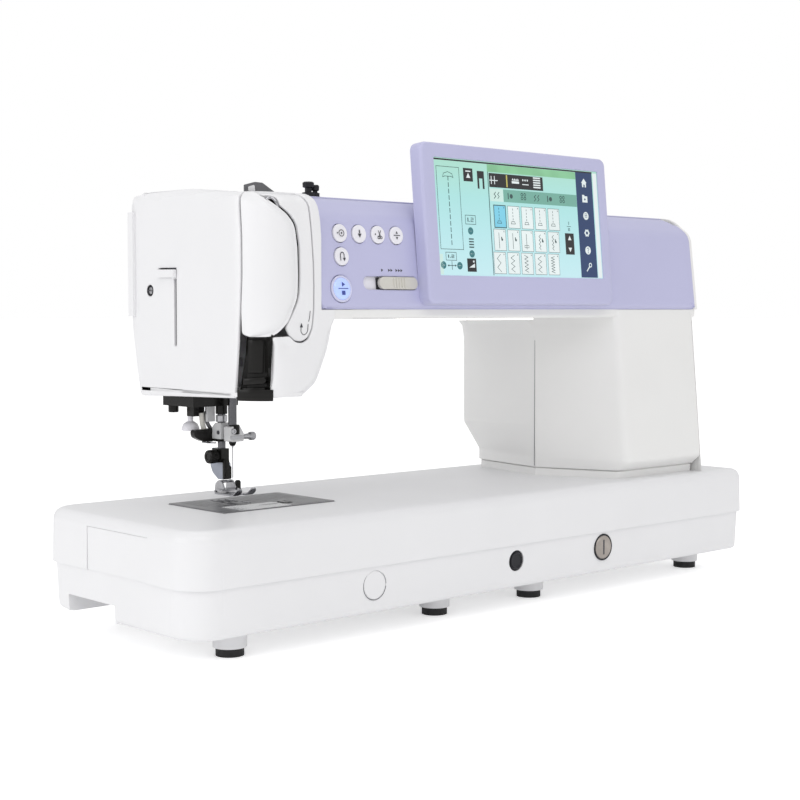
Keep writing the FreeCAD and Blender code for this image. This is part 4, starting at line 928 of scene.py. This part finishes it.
patch("display_bezel", [(0, 0, 6.5), (SCREEN_W, 0, 6.5), (SCREEN_W, SCREEN_H, 6.5), (0, SCREEN_H, 6.5)],
      lambda u, v, h: screen((u, v, h)), LAVENDER, thick=11.8, edge=2.6, step=9, arcs=4,
      holes=[([(AREA[0] - 0.6, AREA[1] - 0.6, 0.6), (AREA[2] + 0.6, AREA[1] - 0.6, 0.6),
               (AREA[2] + 0.6, AREA[3] + 0.6, 0.6), (AREA[0] - 0.6, AREA[3] + 0.6, 0.6)], 0.7)],
      replaces=("display_housing",))
slab("display_back", [(8, 6, 5), (SCREEN_W - 8, 6, 5), (SCREEN_W - 8, SCREEN_H - 8, 5), (8, SCREEN_H - 8, 5)],
     screen, -13.0, -9.5, LAVENDER, 1.2)
slab("display_panel", [(AREA[0] - 0.5, AREA[1] - 0.5, 0.3), (AREA[2] + 0.5, AREA[1] - 0.5, 0.3),
                       (AREA[2] + 0.5, AREA[3] + 0.5, 0.3), (AREA[0] - 0.5, AREA[3] + 0.5, 0.3)],
     screen, -9.4, -1.2, UI_BACK, 0.1, replaces=("display_glass",))

ui = {key: [] for key in ("black", "white", "teal", "navy", "green", "line", "sky", "pale")}
ui["black"] += [box(AREA[0], 109.4, 196, 110.6), box(44.4, 94.6, 54.6, 104.8), box(42.8, 25, 52.6, 35.2),
                box(72.4, 91.6, 134.6, 102.6), box(157.6, 41, 168.4, 58.4), box(59.4, 97.6, 67, 103.4),
                box(59.4, 89.6, 61.4, 97.6), box(65, 89.6, 67, 97.6)]
ui["green"] += [box(70.8, 103.4, 174.8, 109.2)]
ui["navy"] += [box(175, AREA[1], 195.6, 109.4)]
ui["white"] += [box(196.6, AREA[1], 201.4, 109.6)]
ui["teal"] += [box(87.6, 80.6, 174.8, 90.4)]
ui["pale"] += [box(72.4, 80.6, 87.4, 90.6), box(13.8, 22.6, 17.2, 38)]
ui["line"] += ribbon([(71.2, 23), (71.2, 103)], 0.7)
ui["line"] += ribbon([(15.6, 41.8), (39.6, 41.8), (39.6, 104.6), (15.6, 104.6)], 0.4, True)
for k in range(11):
    ui["line"].append(box(27.2, 45 + 4.9 * k, 27.9, 48.6 + 4.9 * k))
ui["line"] += ribbon([(22, 96.6), (23, 99.4), (27.5, 100.8), (32, 99.4), (33, 96.6), (30.4, 97.4),
    (27.5, 97.2),
                      (24.6, 97.4)], 0.4, True)
for u0, v0, u1, v1 in ((43.6, 61.6, 54.6, 68.4), (20.4, 33.4, 31.4, 39.4)):
    ui["line"] += ribbon([(u0, v0), (u1, v0), (u1, v1), (u0, v1)], 0.4, True)
    ui["line"] += [box(u0 + 2.2, v0 + 1.8, u0 + 3.2, v1 - 1.8), box(u0 + 4.2, v0 + 1.8, u0 + 4.9, v0 + 2.5)]
    ui["line"] += ribbon([(u0 + 6, v1 - 2), (u0 + 8.4, v1 - 2), (u0 + 8.4, (v0 + v1) / 2),
        (u0 + 6, (v0 + v1) / 2),
                          (u0 + 6, v0 + 2), (u0 + 8.4, v0 + 2)], 0.5)
for u, v in ((48.6, 56.4), (48.6, 38.8), (17.4, 29.6), (34.6, 29.4)):
    ui["teal_round"] = ui.get("teal_round", []) + [disc(u, v, 2.9)]
    ui["white"] += [box(u - 1.3, v - 0.28, u + 1.3, v + 0.28)]
for k in range(4):
    ui["line"].append(box(46, 43.4 + 2.1 * k, 51.2, 44.4 + 2.1 * k))
ui["line"] += ribbon([(22.6, 29.4), (30, 29.4)], 0.5) + ribbon([(26.3, 26.4), (26.3, 32.6)], 0.5)
ui["line"] += [tri(22.6, 29.4, 1.1, math.pi), tri(30, 29.4, 1.1, 0)]
ui["white_top"] = [tri(49.5, 98.6, 2.6, math.pi / 2), box(46.8, 102, 52.2, 102.9),
    tri(163, 54, 2.4, math.pi / 2),
                   tri(163, 45.4, 2.4, -math.pi / 2), [(44.6, 28.2), (50.8, 28.2), (50.8, 31.4)],
                   box(49, 32.2, 50.6, 33.6), box(74.4, 94, 75.2, 100.4), box(78, 94, 78.8, 100.4),
                   box(72.8, 96.6, 82, 97.3), box(98, 95.8, 106.4, 97.6), box(110, 95.2, 117.6, 95.9)]
ui["white_top"] += [disc(111 + 2.6 * k, 99, 0.8, 10) for k in range(3)]
ui["white_top"] += [tri(99.2 + 2 * k, 98.8, 1.2, math.pi / 2) for k in range(4)]
ui["white_top"] += [box(123, 93.4 + 1.9 * k, 131.4, 94.5 + 1.9 * k) for k in range(5)]
ui["yellow"] = [box(91.6, 92.4, 93, 102)]
for k in range(6):
    u = 77 + 15.4 * k
    if k % 3 == 0:
        ui["line"] += ribbon([(u, 83), (u + 1.8, 84.6), (u, 86.2), (u + 1.8, 87.8)], 0.6)
        ui["line"] += ribbon([(u + 4, 83), (u + 5.6, 84.6), (u + 4, 86.2), (u + 5.6, 87.8)], 0.6)
    elif k % 3 == 1:
        ui["line"] += [disc(u + 4, 85.4, 1.8, 14), box(u, 83, u + 1, 88)]
    else:
        ui["line"] += circle_line(u + 1, 84.4, 1.1, 0.5, 12) + circle_line(u + 4.4, 84.4, 1.1, 0.5, 12)
        ui["line"] += circle_line(u + 1, 87.4, 1.1, 0.5, 12) + circle_line(u + 4.4, 87.4, 1.1, 0.5, 12)
for row, (v0, v1) in enumerate(((60.2, 77.6), (42.2, 58.8), (24, 40.8))):
    for col in range(5):
        u0 = 75.6 - 1.6 * row + 15.7 * col
        u1 = u0 + 13.2
        ui["sky" if row == 0 and col == 0 else "white"].append(box(u0, v0, u1, v1))
        ui["line"] += ribbon([(u0, v0), (u1, v0), (u1, v1), (u0, v1)], 0.7 if row == col == 0 else 0.3, True)
        mid = (u0 + u1) / 2 - 1
        if row == 0:
            ui["line"] += [box(mid - 0.25, v1 - 3.4 - 2.6 * k, mid + 0.25,
                v1 - 1.8 - 2.6 * k) for k in range(4)]
            ui["line"] += ribbon([(mid - 2.4, v0 + 3.4), (mid + 2.4, v0 + 3.4), (mid + 1.6, v0 + 5.2),
                                  (mid - 1.6, v0 + 5.2)], 0.4, True)
        elif row == 1:
            wave = 0.9 if col > 2 else 0.0
            ui["line"] += ribbon([(mid + wave * (-1) ** k, v0 + 1.8 + 1.5 * k) for k in range(9)], 0.45)
            if col != 2:
                ui["line"] += [disc(mid + 3.4, v0 + 8.6, 1.0, 10), box(mid + 2.4, v0 + 9, mid + 3.4,
                    v0 + 10.8)]
            else:
                ui["line"] += ribbon([(mid - 2.4, v0 + 3), (mid + 2.4, v0 + 3), (mid + 2.4, v0 + 4.8),
                                      (mid - 2.4, v0 + 4.8)], 0.35, True)
        else:
            step_v = (3.4, 2.2, 1.5, 2.2, 1.1)[col]
            count = int(13.6 / step_v)
            ui["line"] += ribbon([(mid + 2.0 * (-1) ** k, v0 + 1.6 + step_v * k) for k in range(count + 1)],
                0.4)
        ui["line"] += [box(u1 - 2, v1 - 2.2, u1 - 1.4, v1 - 1)]
ui["line"] += ribbon([(160.6, 64), (165.4, 64)], 0.4) + [box(162.7, 65.4, 163.3, 68),
    box(162, 60.2, 162.6, 62.8),
                                                        box(163.4, 60.2, 164, 62.8)]
mid = 185.2
ui["icon"] = [[(mid - 3.4, 101), (mid + 3.4, 101), (mid, 104.6)], box(mid - 2.5, 97.4, mid + 2.5, 101),
              box(mid - 3.2, 84.8, mid + 3.2, 90), box(mid - 3.2, 90, mid - 0.4, 91)]
ui["icon"] += [disc(mid, 73.6, 3.3, 24), disc(mid, 45, 3.4, 24)] + circle_line(mid, 59.4, 2.0, 1.3, 18)
ui["icon"] += [box(mid + 2.6 * math.cos(a) - 0.6, 59.4 + 2.6 * math.sin(a) - 0.6,
    mid + 2.6 * math.cos(a) + 0.6,
                   59.4 + 2.6 * math.sin(a) + 0.6) for a in [k * math.pi / 3 for k in range(6)]]
ui["icon"] += ribbon([(mid - 2.6, 28), (mid + 0.6, 31.4)], 1.0) + circle_line(mid + 1.8, 32.8, 1.5, 0.8, 14)
ui["navy_top"] = [box(mid - 1.7, 72.4 + 1.3 * k, mid + 1.7, 72.9 + 1.3 * k) for k in range(3)]
ui["navy_top"] += [box(mid - 0.8, 97.4, mid + 0.8, 99.6), disc(mid, 87.3, 0.9, 10), disc(mid, 43, 0.5, 8)]
ui["navy_top"] += ribbon([(mid - 1.2, 46.2), (mid - 0.6, 47), (mid + 0.6, 47), (mid + 1.2, 46), (mid, 44.8),
                          (mid, 44)], 0.5)
UI_LOOK = {"black": (UI_BLACK, 0), "white": (UI_WHITE, 1), "teal": (UI_TEAL, 1), "navy": (UI_NAVY, 1),
           "green": (UI_GREEN, 1), "line": (UI_LINE, 3), "sky": (UI_SKY, 1), "pale": (UI_PALE, 1),
           "teal_round": (UI_DEEP, 1), "white_top": (UI_WHITE, 3), "yellow": (UI_YELLOW, 3),
           "icon": (UI_WHITE, 2), "navy_top": (UI_NAVY, 3)}
for key, shapes in ui.items():
    mat, layer = UI_LOOK[key]
    print_on("screen_" + key, screen, shapes, -1.16 + 0.05 * layer, mat)
# ---------------------------------------------------------------- needle area
NEEDLE_X, NEEDLE_Y, PRESSER_Y = -190.2, 14.0, 28.0


def knurl(count, depth, rows):
    return lambda angle, index: 1 - depth * (index in rows) * (0.5 + 0.5 * math.cos(count * angle))


def sideways(x):
    """The plane of the left side at x: p is (y, z, how far towards the left)."""
    return lambda p: Vector((x - p[2], p[0], p[1]))


brick("under_head_chassis", (-220, 22, 166.4), (-179, 62, 177.8), DARK_GLOSS, 0.6)
lathe("chassis_knob", (-214.6, 56, 161), (0, 0, 1), [(0, 0), (3.4, 0), (3.9, 0.5), (3.9, 5), (3.2, 6),
    (0, 6)],
      DARK_GLOSS, 32)
brick("chassis_block", (-210, 36, 158.4), (-200.2, 45, 169), DARK_GLOSS, 0.5)
brick("threader_rail", (-202, 29.4, 154.4), (-195.2, 32, 178), SILVER, 0.3)
brick("threader_rail_edge", (-202.4, 31, 160), (-201.4, 32, 178), CHROME, 0.2)
lathe("presser_bush", (NEEDLE_X, PRESSER_Y, 160), (0, 0, 1), [(3.05, 0), (4.3, 0), (4.5, 0.3), (4.5, 9),
    (3.05, 9)],
      DARK_GLOSS, 36)
lathe("presser_collar", (NEEDLE_X, PRESSER_Y, 154), (0, 0, 1), [
    (3.02, 0), (4.1, 0), (4.4, 0.4), (4.4, 4.8), (4.1, 5.2), (3.02, 5.2)], STEEL, 36, body="presser_unit")
slab("presser_bar_block", [(20.6, 141.2, 1), (31.6, 141.2, 1), (31.6, 150, 2), (27.5, 153.6, 2),
    (20.6, 153.6, 1)],
     sideways(-189), -1.6, 7.4, SILVER, 0.5, body="presser_unit")
lathe("presser_block_screw", (-196.5, 23.4, 146.4), (-1, 0, 0), [(0, -1), (1.5, -1), (1.5, 0.5), (1.1, 0.8),
    (0.4, 0.5),
                                                                (0, 0.5)], INK, 20, body="presser_unit")
slab("presser_block_lip", [(20.8, 139.6, 0.4), (32.6, 139.6, 0.4), (32.6, 141.4, 0.4), (20.8, 141.4, 0.4)],
     sideways(-190), -1, 7, DARK_GLOSS, 0.3, body="presser_unit")

# needle clamp and its screw, which ride with the needle bar
slab("needle_clamp_block", [(-194.8, 139.9, 1), (-183, 139.9, 1), (-183, 146, 1), (-186.4, 151.4, 1),
                            (-194.8, 151.4, 1.5)],
     lambda p: Vector((p[0], NEEDLE_Y - p[2], p[1])), -4.4, 4.4, SILVER, 0.5, body="needle_unit",
     replaces=("needle_clamp",))
lathe("needle_clamp_sleeve", (NEEDLE_X + 0.6, 12.6, 145.4), (0, 0, 1), [
    (0, 0), (3.8, 0), (4.1, 0.4), (4.1, 6.4), (3.6, 7.2), (0, 7.2)], DARK_GLOSS, 32, body="needle_unit")
slab("needle_clamp_foot", [(-195.4, 142.2, 0.3), (-184, 142.2, 0.3), (-184, 144.2, 0.3),
    (-195.4, 144.2, 0.3)],
     lambda p: Vector((p[0], NEEDLE_Y - p[2], p[1])), 4.2, 5.2, CHROME, 0.25, body="needle_unit")
lathe("needle_clamp_eye", (-192.6, 9.4, 147.8), (0, -1, 0), [
    (0.9, -0.4), (2.0, -0.4), (2.2, 0.3), (2.0, 0.8), (1.0, 0.8), (0.9, 0.4)], CHROME, 24, body="needle_unit")
lathe("needle_shank_holder", (NEEDLE_X, NEEDLE_Y, 136.6), (0, 0, 1), [
    (0, 0), (1.6, 0), (2.6, 1.4), (3.0, 3.4), (0, 3.4)], DARK_GLOSS, 24, body="needle_unit")
lathe("clamp_screw_head", (-183.2, NEEDLE_Y, 143.1), (1, 0, 0), [
    (0, 0), (1.5, 0), (1.5, 2.0), (2.0, 2.2), (2.1, 8.0), (2.9, 8.6), (3.3, 9.2), (3.3, 12.4), (2.8, 13.2),
    (0, 13.4)],
    STEEL, 60, knurl(20, 0.10, (6, 7)), body="clamp_thumbscrew", replaces=("clamp_screw",))

# needle threader: the hanging arm and its dark head
lathe("threader_cup", (-207.5, 44, 147.4), (0, 0, 1), [
    (0, 0.8), (5.4, 0.8), (6.3, 0), (6.9, 0.3), (6.6, 2.4), (5.4, 5.0), (3.2, 6.6), (2.2, 7.0), (2.2, 13),
    (0, 13)],
    KEYS, 40, body="threader_arm")
tube("threader_link_light", [(-203.4, 35.2, 161), (-202.8, 35, 153), (-200.6, 34.6, 146.6),
    (-197.6, 34, 142.6)], 2.0,
     KNOB, 16, body="threader_arm")
tube("threader_link_dark", [(-199.5, 36, 162), (-198.4, 35.4, 154), (-195.8, 34.6, 149), (-193.4, 34, 146)],
    1.5,
     BRACKET, 14, body="threader_arm")
slab("threader_head", [(-214.4, 148.4, 2), (-196.4, 149.0, 2), (-196, 138.9, 2), (-207, 139.8, 4),
    (-214, 143, 4)],
     lambda p: Vector((p[0] + 1.5, 34 - p[2], p[1])), -2.6, 2.6, DARK_GLOSS, 0.9, body="threader_arm",
     replaces=("threader_hook",))
slab("threader_hook_plate", [(-206, 138.3, 0.5), (-196, 137.4, 0.4), (-195.6, 138.6, 0.4),
    (-205.4, 139.8, 0.5)],
     lambda p: Vector((p[0] + 1.5, 33 - p[2], p[1])), -1.0, 3.4, CHROME, 0.2, body="threader_arm")

# foot holder with its thumb screw, and the foot
slab("foot_ankle", [(19.4, 110.8, 1.2), (26.6, 110.8, 2), (33.6, 115.4, 6), (36.6, 121, 4), (35.4, 123.6, 1),
                    (19.8, 123.6, 1.5)], sideways(-190.2), -2.2, 4.6, ANKLE, 0.6, segments=3,
                    body="presser_unit",
     replaces=("foot_holder",))
brick("foot_ankle_clamp", (-194.6, 22.4, 122.6), (-187.4, 34.4, 134), DARK_GLOSS, 0.8, body="presser_unit")
# dark sheet over the holder's front face: painted shade on that face
slab("foot_ankle_front_painted_shade", [(-195.0, 111.2, 0.8), (-188, 111.2, 0.8), (-188, 120.4, 0.8), (-190, 121.6, 0.8),
                          (-190, 126, 0.8), (-195.0, 126, 0.8)],
     lambda p: Vector((p[0], 19.8 - p[2], p[1])), -0.6, 1.2, DARK_GLOSS, 0.5, body="presser_unit")
lathe("foot_thumb_screw", (-192.6, PRESSER_Y, 128), (-1, 0, 0), [
    (0, -2), (2.2, -2), (2.2, 0.6), (3.6, 0.9), (4.6, 1.5), (5.1, 2.2), (5.3, 6.2), (5.3, 9.0), (4.9, 10.2),
    (3.8, 10.9), (2.2, 10.9), (1.9, 10.4), (0, 10.4)], DARK_GLOSS, 90, knurl(30, 0.07, (5, 6, 7)),
    body="foot_thumbscrew", replaces=("foot_screw",))


def sole(x, y, h):
    """The foot's sole: flat under the needle, with toes that turn up in front and a lifted heel."""
    rise = 6.0 * max(0.0, (4.0 - y) / 8.0) ** 2 + 1.2 * max(0.0, (y - 24) / 6.0) ** 2
    return (x, y, 101.2 + rise + h)


patch("foot_sole", [(-199.6, -3.4, 2.2), (-193.6, -3.4, 2.2), (-193.0, 6, 0.8), (-187.4, 6, 0.8),
                    (-186.8, -3.4, 2.2), (-180.6, -3.4, 2.2), (-180.6, 24, 3), (-184, 30, 3), (-196.4, 30, 3),
                    (-199.6, 24, 3)],
      sole, CHROME, thick=1.3, edge=0.5, step=1.6, arcs=3, body="foot_unit", replaces=("presser_foot",),
      holes=[([(-194.2, 11.6, 2.3), (-186.2, 11.6, 2.3), (-186.2, 16.4, 2.3), (-194.2, 16.4, 2.3)], 0.35)])
for side in (-1, 1):
    slab("foot_cheek_%s" % ("left" if side < 0 else "right"),
         [(18.6, 102, 0.5), (29.6, 102, 0.8), (28.4, 107.6, 1.6), (24.6, 110.2, 1.6), (20.4, 109.4, 1.6),
          (17.6, 104.6, 1)], sideways(NEEDLE_X + 5.1 * side), -0.7, 0.7, STEEL, 0.25, body="foot_unit")
tube("foot_hinge_pin", [(NEEDLE_X - 5.6, 23.6, 109), (NEEDLE_X, 23.6, 109), (NEEDLE_X + 5.6, 23.6, 109)],
    1.1, CHROME,
     16, body="foot_unit")
slab("foot_rib", [(-198.6, 16.8, 1), (-181.8, 16.8, 1), (-183.6, 26, 1), (-197, 26, 1)], lambda p: Vector(p),
    102.2,
     103.6, STEEL, 0.4, body="foot_unit")
tube("foot_guide_wire", [(-183, 16, 103), (-186.6, 12.6, 104.4), (-189.6, 7.6, 103.6), (-191.4, 4.4, 102.6)],
    0.55,
     CHROME, 10, body="foot_unit")
lathe("foot_button", (-181.4, 19.7, 102.6), (0, 0, 1), [
    (0, 0), (2.1, 0), (2.3, 0.3), (2.3, 5.4), (2.0, 6.4), (1.2, 7.0), (0, 7.1)], DARK_GLOSS, 28,
    body="foot_unit")

# ---------------------------------------------------------------- needle plate
PLATE_L, PLATE_R, PLATE_F, PLATE_B, PLATE_Z = -230.6, -126.4, -30.6, 41.6, 93.95
teeth_slots = [([(x - 1.5, 15.7, 0.6), (x + 1.5, 15.7, 0.6), (x + 1.5, 33.3, 0.6), (x - 1.5, 33.3, 0.6)],
    0.15)
               for x in (-196.4, -190.2, -184.0)]
teeth_slots += [([(x - 1.5, 0.7, 0.6), (x + 1.5, 0.7, 0.6), (x + 1.5, 13.3, 0.6), (x - 1.5, 13.3, 0.6)], 0.15)
                for x in (-197.2, -183.2)]
teeth_slots += [([(-194.6, 13.4, 0.7), (-185.8, 13.4, 0.7), (-185.8, 14.9, 0.7), (-194.6, 14.9, 0.7)], 0.15)]
cover_hole = [(-214.2, -29.2, 2), (-165.8, -29.2, 2), (-165.8, -2.8, 2), (-214.2, -2.8, 2)]
patch("needle_plate_face", [(PLATE_L, PLATE_F, 2.5), (PLATE_R, PLATE_F, 2.5), (PLATE_R, PLATE_B, 2.5),
                            (PLATE_L, PLATE_B, 2.5)],
      lambda x, y, h: (x, y, PLATE_Z + h), PLATE, thick=2.0, edge=0.35, step=8, replaces=("needle_plate",),
      holes=teeth_slots + [(cover_hole, 0.2), ([(-164.6, -18, 2.2), (-156.9, -18, 2.2), (-156.9, -5, 2.2),
                                                (-164.6, -5, 2.2)], 0.2)])
guide_lines = []
for k in range(9):
    x = -176.6 + 5.2 * k
    guide_lines += ribbon([(x, 4), (x, 38)], 0.45 if k % 2 else 0.7)
for k in range(4):
    x = -204.6 - 5.2 * k
    guide_lines += ribbon([(x, 4), (x, 38)], 0.45)
guide_lines += ribbon([(-178, 14.2), (-134, 14.2)], 0.4) + ribbon([(-224, 14.2), (-203, 14.2)], 0.4)
guide_lines += ribbon([(-156, -26), (-130, -26), (-130, -4), (-156, -4)], 0.4, True)
print_on("plate_guide_lines", lambda p: Vector((p[0], p[1], PLATE_Z + p[2])), guide_lines, 0.08, INK)
for i, (x, y0, y1) in enumerate(((-196.4, 18.4, 30.6), (-190.2, 18.4, 30.6), (-184.0, 18.4, 30.6),
                                 (-197.2, 3.5, 10.4), (-183.2, 3.5, 10.4))):
    teeth = [(y0, 91.4, 0)]
    y = y0
    while y < y1 - 1.0:
        teeth += [(y, 94.1, 0), (y + 0.9, 94.5, 0), (y + 1.3, 94.0, 0)]
        y += 1.3
    teeth += [(y1, 91.4, 0)]
    slab("feed_teeth_%d" % i, teeth, sideways(x), -1.0, 1.0, STEEL, 0.0, body="feed_unit",
         replaces=("feed_dog",) if i == 0 else ())
slab("hook_cover_clear", [(-213.8, -28.8, 1.8), (-166.2, -28.8, 1.8), (-166.2, -3.2, 1.8),
    (-213.8, -3.2, 1.8)],
     lambda p: Vector(p), 92.3, 93.9, CLEAR, 0.3, body="hook_cover", replaces=("hook_cover_plate",))
slab("hook_cover_print", [(-186, -13.6, 0.5), (-168.6, -13.6, 0.5), (-168.6, -12.8, 0.3), (-186, -12.8, 0.3)],
     lambda p: Vector(p), 93.95, 94.0, INK, 0.0, body="hook_cover")
lathe("bobbin_top", (NEEDLE_X, -8.5, 89.9), (0, 0, 1), [
    (0, 0), (10.4, 0), (10.8, 0.4), (10.8, 1.0), (9.6, 1.2), (4.4, 1.2), (3.6, 0.4), (0, 0.4)], STEEL, 48,
    body="bobbin_unit")
slab("cover_button", [(-164.2, -17.4, 2), (-160.4, -17.4, 2), (-160.4, -5.6, 2), (-164.2, -5.6, 2)],
     lambda p: Vector(p), 92.0, 94.4, DARK_GLOSS, 0.5, body="release_button",
     replaces=("cover_release_button",))
# ---------------------------------------------------------------- bed
tube("bed_plug_groove", [(-144.6 + 10.9 * math.cos(a), -95.6, 40 + 10.9 * math.sin(a))
                         for a in [k * math.pi / 20 for k in range(40)]], 0.22, SEAM, 8, closed=True)
lathe("front_plug_cap", (-144.6, -94.0, 40), (0, -1, 0), [(0, 0), (10.4, 0), (10.4, 1.4), (9.9, 1.8), (0,
    1.9)], WHITE,
      56, replaces=("front_plug",))
lathe("knee_socket_ring", (4.7, -95.0, 41), (0, -1, 0), [(5.0, 0), (6.6, 0), (6.6, 1.0), (6.2, 1.4), (5.3,
    1.3),
                                                       (5.0, 0.8)], DARK, 48)
lathe("knee_socket_hollow", (4.7, -95.2, 41), (0, 1, 0), [(5.1, 0), (5.1, 14), (0, 14), (0, 13.4), (4.7,
    13.4),
                                                        (4.7, 0)], DARK, 40)
lathe("feed_dial_face", (110, -94.4, 40.7), (0, -1, 0), [
    (0, 0), (9.6, 0), (9.8, 0.4), (9.8, 1.9), (9.3, 2.4), (0, 2.5)], DIAL, 56, body="feed_dial",
    replaces=("feed_balance_dial",))
# the dial's slot, drawn as a flat ink strip: painted shade in the slot
slab("feed_dial_slot_painted_shade", [(-0.8, -6.2, 0.5), (0.8, -6.2, 0.5), (0.8, 6.2, 0.5), (-0.8, 6.2, 0.5)],
     lambda p: Vector((110 + p[0], -96.9 - p[2], 40.7 + p[1])), 0, 0.06, INK, 0.0, body="feed_dial")
lathe("feed_dial_rim", (110, -94.6, 40.7), (0, -1, 0), [(9.9, 0), (11.2, 0), (11.2, 1.6), (10.8, 2.0), (9.9,
    1.6)],
      DARK, 56)

# ---------------------------------------------------------------- pillar and back
def pillar_ring(z, rear_x, seam_x, front_y, shrink=0.0):
    return ring_at([(rear_x + shrink, 79.8, 7), (seam_x + shrink, -9, 2),
        (149.5 + shrink, front_y + shrink, 9),
                    (256.2 - shrink, front_y + shrink, 6), (256.2 - shrink, 79.8, 10)][::-1], z)


stack("pillar_skin", [
    pillar_ring(100.6, 137.8, 121, -80.4), pillar_ring(107.2, 138, 120.8, -87.8),
    pillar_ring(109.4, 138, 120.7, -88.9),
    pillar_ring(111.6, 137, 120.6, -88.8), pillar_ring(136, 116.6, 120.4, -86.6),
    pillar_ring(139, 116, 120.4, -86.2),
    pillar_ring(214, 115.8, 120, -79.2), pillar_ring(224, 114, 116, -78.2),
    pillar_ring(231.8, 106, 106, -77.4),
    pillar_ring(238.6, 96, 94, -76.6)], WARM, replaces=("pillar_front_cover",), angle=40)
stack("pillar_plinth", [
    pillar_ring(92.8, 139.6, 119.6, -80.2, 1.2), pillar_ring(99.2, 140, 120, -80.6, 1.0),
    pillar_ring(100.6, 140.6, 120.6, -80.6, 2.4)], WARM, angle=40)
tube("pillar_seam", [(120.1, -8.7, z) for z in (101.5, 130, 170, 212)],
     0.28, SEAM, 8)
trimmed("arm_under_lip", "pillar_front_cover", WARM, [((0, 0, 229), (0, 0, -1))])
brick("arm_under_link", (-170, -76.2, 232.2), (-148, -20, 238.8), WARM, 1.6)
trimmed("rear_head_cover", "rear_cover", WHITE, [((-235.0, 0, 0), (-1, 0, 0)), ((-90, 0, 0), (1, 0, 0))])
trimmed("rear_arm_cover", "rear_cover", WHITE, [((-90, 0, 0), (-1, 0, 0)), ((0, 0, 231), (0, 0, -1))])
brick("rear_joint_strip", (121, 74, 222), (254, 79.85, 241), WARM, 0.2)
brick("head_joint_strip", (-238.6, 73, 234), (-231, 79.7, 312), WHITE, 0.2)
# vent openings drawn as flat ink strips: painted shade in the openings
for i in range(9):
    slab("rear_vent_painted_shade_%d" % i, [(152 + 11 * i, 122, 1.6), (155.6 + 11 * i, 122, 1.6),
        (155.6 + 11 * i, 160, 1.6),
                              (152 + 11 * i, 160, 1.6)], lambda p: Vector((p[0], 80 + p[2], p[1])), -1.0,
                              0.15, INK, 0.0)
refined("end_cover", "side_cover", WARM, 1.6, 3)
refined("lid_cover", "arm_top_cover", LAVENDER, 0.8, 3)
refined("head_base_cover", "head_base", WHITE, 0.4, 1)
# ---------------------------------------------------------------- stage, light and camera
def panel_light(name, at, to, size_x, size_y, power, colour=(1, 1, 1)):
    data = bpy.data.lights.new(name, "AREA")
    data.shape = "RECTANGLE"
    data.size = size_x
    data.size_y = size_y
    data.energy = power
    data.color = colour
    obj = bpy.data.objects.new(name, data)
    bpy.context.scene.collection.objects.link(obj)
    obj.location = at
    obj.rotation_euler = (Vector(to) - Vector(at)).to_track_quat("-Z", "Y").to_euler()
    return obj


bpy.context.scene.view_settings.view_transform = "Standard"
bpy.ops.mesh.primitive_plane_add(size=60, location=(0, 0, 0))
floor = bpy.context.object
floor.name = "studio_floor"
floor_mat, tree, bsdf = shader("studio_floor", rgb(0.97, 0.97, 0.97), 0.7, glow=(rgb(1, 1, 1), 0.14))
ray = tree.nodes.new("ShaderNodeLightPath")
floor_glow = tree.nodes.new("ShaderNodeMath")
floor_glow.operation = "MULTIPLY_ADD"
floor_glow.inputs[1].default_value = 0.30
floor_glow.inputs[2].default_value = 0.14
tree.links.new(ray.outputs["Is Camera Ray"], floor_glow.inputs[0])
tree.links.new(floor_glow.outputs[0], bsdf.inputs["Emission Strength"])
floor.data.materials.append(floor_mat)

world = bpy.data.worlds.new("studio_world")
world.use_nodes = True
world.node_tree.nodes["Background"].inputs[0].default_value = (1, 1, 1, 1)
world.node_tree.nodes["Background"].inputs[1].default_value = 0.70
seen = world.node_tree.nodes.new("ShaderNodeBackground")
seen.inputs[0].default_value = (1, 1, 1, 1)
seen.inputs[1].default_value = 1.0
path = world.node_tree.nodes.new("ShaderNodeLightPath")
mix = world.node_tree.nodes.new("ShaderNodeMixShader")
world.node_tree.links.new(path.outputs["Is Camera Ray"], mix.inputs[0])
world.node_tree.links.new(world.node_tree.nodes["Background"].outputs[0], mix.inputs[1])
world.node_tree.links.new(seen.outputs[0], mix.inputs[2])
world.node_tree.links.new(mix.outputs[0], world.node_tree.nodes["World Output"].inputs[0])
bpy.context.scene.world = world
panel_light("key_panel", (-1.1, -1.7, 1.9), (0, 0, 0.15), 1.6, 1.6, 14, (1, 0.99, 0.98))
panel_light("side_panel", (-2.2, 0.4, 0.9), (-0.2, 0, 0.2), 1.2, 1.2, 8, (1, 1, 1))
panel_light("top_panel", (0.3, 0.2, 2.4), (0, 0, 0.2), 1.8, 1.2, 8, (1, 1, 1))

camera = bpy.data.cameras.new("photo_camera")
camera.lens = 68.27
camera.sensor_width = 36
camera.clip_start = 0.05
eye = bpy.data.objects.new("photo_camera", camera)
bpy.context.scene.collection.objects.link(eye)
eye.location = (-0.8655, -0.9093, 0.2393)
eye.rotation_euler = (math.radians(90 - 3.433), 0, math.radians(-42.5))
bpy.context.scene.camera = eye

bpy.context.view_layer.update()
